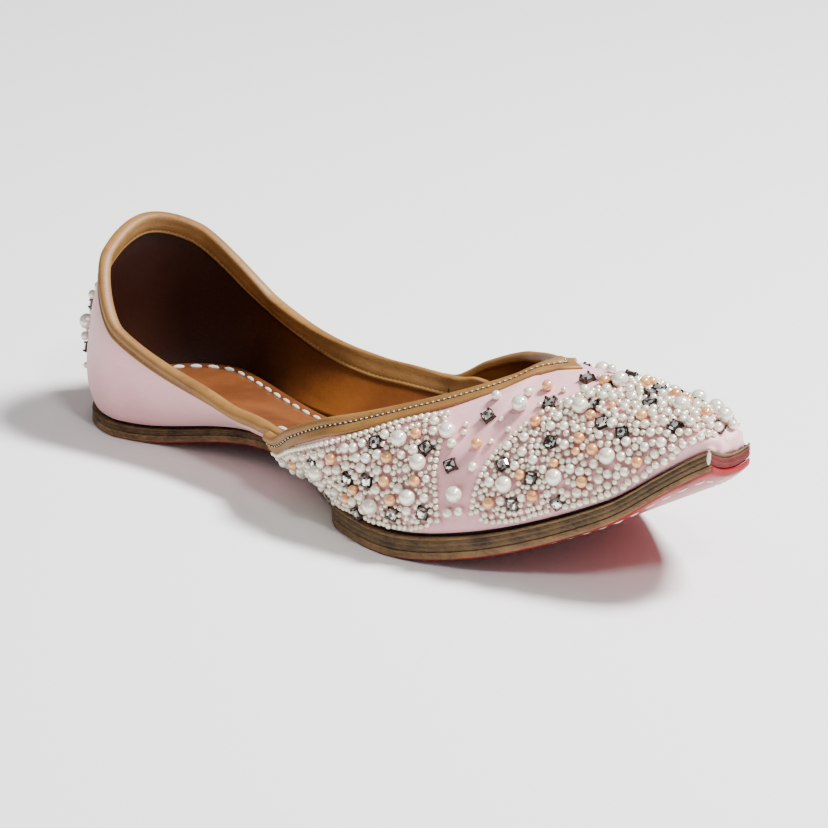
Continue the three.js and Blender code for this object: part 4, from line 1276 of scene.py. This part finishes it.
class Beads:
    """Beads sewn on one side of the shoe. Charted beads go where the chart says. The seed pearls added
    round them are pressed close, and cut a little way into their neighbours."""

    def __init__(self, side, seed, beside=None):
        self.side = side
        self.random = np.random.default_rng(seed)
        self.rows = []
        self.beside = beside.rows if beside else []

    def add(self, kind, x, rise, radius, spot):
        row = {"kind": kind, "x": float(x), "rise": float(rise), "radius": float(radius), "spot": spot}
        self.rows.append({**row, "tint": float(self.random.random())})

    def clearance(self, spots):
        """Distance from each place to the side of the nearest bead."""
        free = np.full(len(spots), 99.0)
        for row in self.rows + self.beside:
            free = np.minimum(free, np.linalg.norm(spots - row["spot"], axis=1) - row["radius"])
        return free

    def charted(self, table):
        for kind, chart in table.items():
            x, rise = (np.array(column, float) for column in zip(*chart))
            for x_, rise_, spot in zip(x, rise, on_satin(run_at(x), rise, self.side)):
                self.add(kind, x_, rise_, RADII[kind], spot)

    def border(self, outline):
        """A row of seed pearls along the border of a patch, but not along the ridge."""
        shares = np.linspace(0, 1, 40)
        edges = [
            (x0 + (x1 - x0) * shares, r0 + (r1 - r0) * shares)
            for (x0, r0), (x1, r1) in zip(outline, outline[1:] + outline[:1]) if r0 < 1 or r1 < 1]
        x, rise = (np.concatenate(column) for column in zip(*edges))
        path = on_satin(run_at(x), rise, self.side)
        way = np.concatenate([[0], np.cumsum(np.linalg.norm(np.diff(path, axis=0), axis=1))])
        at = [0.0]
        while at[-1] < way[-1]:
            at.append(at[-1] + BORDER_PITCH * float(seed_size(np.interp(at[-1], way, x))))
        x, rise = np.interp(at, way, x), np.interp(at, way, rise)
        for x_, rise_, spot in zip(x, rise, on_satin(run_at(x), rise, self.side)):
            if self.clearance(spot[None])[0] > BORDER_SHARE * seed_size(x_):
                self.add("seed", x_, rise_, seed_size(x_), spot)

    def fill(self, outline, middling):
        """Fills a patch: some middling pearls where MID has room, then seed pearls until none fits."""
        ends = [x for x, _ in outline]
        x, rise = np.meshgrid(np.arange(min(ends), max(ends), 0.3), np.arange(0.03, 1.0, 0.008))
        x = x.ravel() + self.random.uniform(-0.12, 0.12, x.size)
        rise = rise.ravel() + self.random.uniform(-0.003, 0.003, rise.size)
        kept = within(outline, x, rise)
        x, rise = x[kept], rise[kept]
        spots = on_satin(run_at(x), rise, self.side)
        free = self.clearance(spots)

        def place(kind, radius, pick):
            self.add(kind, x[pick], rise[pick], radius, spots[pick])
            return np.minimum(free, np.linalg.norm(spots - spots[pick], axis=1) - radius)

        for _ in range(middling):
            room = np.flatnonzero(free > MID)
            if len(room):
                kind = "peach" if self.random.random() < PEACH_SHARE else "mid"
                free = place(kind, self.random.uniform(*MIDDLING_RADII), self.random.choice(room))
        for low, high in SEED_LOTS:
            while True:
                sizes = seed_size(x) * self.random.uniform(low, high)
                room = np.flatnonzero(free > FILL_SHARE * sizes)
                if len(room) == 0:
                    break
                gap = free[room] - FILL_SHARE * sizes[room] + self.random.uniform(0, 0.08, len(room))
                pick = room[np.argmin(gap)]
                free = place("seed", sizes[pick], pick)


def sewn_axes(rows, side):
    """Places on the satin, and axes along the shoe, up it and out of it."""
    run = run_at([row["x"] for row in rows])
    rise = np.array([row["rise"] for row in rows])
    along = unit(on_satin(run + 0.4, rise, side) - on_satin(run - 0.4, rise, side))
    up = on_satin(run, np.minimum(rise + 0.015, 1), side) - on_satin(run, rise - 0.015, side)
    out = unit(np.cross(up, along)) * side
    return on_satin(run, rise, side), along, np.cross(out, along), out


pearl_finishes = {}
PEARLS = {
    "seed": (rgb(252, 246, 228), rgb(230, 221, 200), 0.2),
    "mid": (rgb(253, 248, 232), rgb(238, 231, 211), 0.19),
    "large": (rgb(254, 250, 235), rgb(244, 238, 220), 0.17),
    "peach": (rgb(246, 184, 124), rgb(230, 154, 96), 0.18),
}
for kind, (light, dark, roughness) in PEARLS.items():
    pearl = Finish(kind + "_pearl", roughness=roughness, metallic=0.3, coat_weight=1.0, coat_roughness=0.04)
    level = pearl.node("Attribute", {"attribute_name": "level"}, output="Fac")
    # Each pearl is painted darker towards its rim as seen from the camera: painted shade.
    rim = pearl.node("LayerWeight", None, {"Blend": 0.35}, output="Facing")
    body = pearl.mix(level, light, dark)
    pearl.feed(base_color=pearl.mix(rim * 0.45, body, rgb(164, 150, 122)))
    pearl_finishes[kind] = pearl

BALLS = {"seed": ball_template(10, 7), "mid": ball_template(14, 10), "peach": ball_template(16, 11),
         "large": ball_template(20, 14)}


def sew_pearls(name, rows, side):
    """One piece for the pearls of each kind."""
    for kind, template in BALLS.items():
        chosen = [row for row in rows if row["kind"] == kind]
        if not chosen:
            continue
        here, along, up, out = sewn_axes(chosen, side)
        radius = np.array([row["radius"] for row in chosen])[:, None]
        frames = np.stack([along * radius, up * radius, out * radius * PEARL_FLAT], -1)
        tints = [row["tint"] for row in chosen]
        copies(name + "_" + kind, template, frames, here + out * radius * PEARL_UP, [pearl_finishes[kind]],
               tints=tints)


# The cup, up and over its rim, and the stone, in rings measured in half sides of the stone: half
# width, height over the satin, and share of a side that each corner loses
STONE_CUP = [(0.84, -0.1, 0.16), (1.0, 0.35, 0.16), (1.02, 0.66, 0.16), (0.88, 0.66, 0.16), (0.84, 0.5, 0.16)]
STONE_CUT = [(0.76, 0.5, 0.12), (0.84, 0.7, 0.12), (0.6, 0.96, 0.24), (0.34, 1.06, 0.3)]
# A claw's foot and tip: how far out towards the corner, height, and half width
CLAW = [(0.86, 0.1, 0.2), (0.68, 1.12, 0.16)]


def stone_template():
    """A square cut stone of half side 1 in a square cup with a claw at each corner; marks of the metal."""
    points, faces, marks = [], [], []
    corners = [(1, 1), (-1, 1), (-1, -1), (1, -1)]

    def square(half, z, cut=0, middle=(0, 0)):
        start = len(points)
        for (a, b), (c, d) in zip(corners, corners[1:] + corners[:1]):
            for share in ((cut, 1 - cut) if cut else (0,)):
                x, y = half * (a + (c - a) * share), half * (b + (d - b) * share)
                points.append((middle[0] + x, middle[1] + y, z))
        return list(range(start, len(points)))

    def closed(rings, mark):
        faces.append(tuple(rings[0][::-1]))
        for lower, upper in zip(rings, rings[1:]):
            for k in range(len(lower)):
                n = (k + 1) % len(lower)
                faces.append((lower[k], lower[n], upper[n], upper[k]))
        faces.append(tuple(rings[-1]))
        marks.extend([mark] * (len(faces) - len(marks)))

    closed([square(*ring) for ring in STONE_CUP], 0)
    closed([square(*ring) for ring in STONE_CUT], 1)
    for a, b in corners:
        closed([square(half, z, middle=(a * reach, b * reach)) for reach, z, half in CLAW], 0)
    return (np.array(points), faces), marks


claws = Finish("dark_silver", roughness=0.28, metallic=1.0)
claws.feed(base_color=claws.mix(claws.noise(700.0), rgb(100, 90, 82), rgb(52, 44, 40)))
glass = Finish("foiled_glass", roughness=0.06, metallic=0.85, coat_weight=1.0, coat_roughness=0.02)
# A random brightness for each facet, from dark grey to white: painted glints and reflections.
glint = glass.node("Attribute", {"attribute_name": "glint"}, output="Fac")
glass.feed(base_color=glass.node("ValToRGB", {"stops": [
    (0.0, rgb(40, 36, 32)), (0.3, rgb(96, 90, 82)), (0.42, rgb(224, 220, 212)), (1.0, rgb(255, 254, 250)),
]}, {"Fac": glint}, output="Color"))
SQUARE_STONE, METAL_MARKS = stone_template()


def sew_stones(name, rows, side, seed):
    chosen = [row for row in rows if row["kind"] == "stone"]
    random = np.random.default_rng(seed)
    here, along, up, out = sewn_axes(chosen, side)
    turned = random.uniform(-0.6, 0.6, len(chosen))[:, None]
    first, second = along * np.cos(turned) + up * np.sin(turned), up * np.cos(turned) - along * np.sin(turned)
    frames = np.stack([first * STONE, second * STONE, out * STONE], -1)
    piece = copies(name, SQUARE_STONE, frames, here, [claws, glass], METAL_MARKS)
    piece.data.shade_flat()
    # Each facet's random brightness: painted glints.
    piece.data.attributes.new("glint", "FLOAT", "FACE").data.foreach_set(
        "value", random.random(len(piece.data.polygons)).astype(np.float32))


REAR_END = 176
MIDDLING = 46
inner = Beads(-1, 5)
inner.charted(INNER_PLACES)
outer = Beads(1, 6, beside=inner)
outer.charted(OUTER_PLACES)
for beads, patches in ((inner, (REAR_INNER, TOE_INNER)), (outer, (REAR_OUTER, TOE_OUTER))):
    for patch in patches:
        beads.border(patch)
    for patch in patches:
        beads.fill(patch, MIDDLING)

for beads, word in ((inner, "inner"), (outer, "outer")):
    split = {
        "rear": [row for row in beads.rows if row["x"] < REAR_END],
        "toe": [row for row in beads.rows if row["x"] >= REAR_END],
    }
    for part, rows in split.items():
        sew_pearls("pearls_" + word + "_" + part, rows, beads.side)
    sew_stones("stones_" + word, beads.rows, beads.side, 40 + beads.side)

for side, word in ((1, "left"), (-1, "right")):
    rows = [
        {"kind": kind, "run": run, "rise": rise, "radius": RADII[kind], "tint": 0.3}
        for kind, chart in HEEL_PLACES.items() for run, rise in chart if run > 0 or side > 0]
    for row in rows:
        row["x"] = float(HEEL_ROUND * (1 - math.cos(row["run"] / HEEL_RUN * math.pi / 2)))
    sew_pearls("heel_pearls_" + word, rows, side)
    sew_stones("heel_stones_" + word, rows, side, 70 + side)
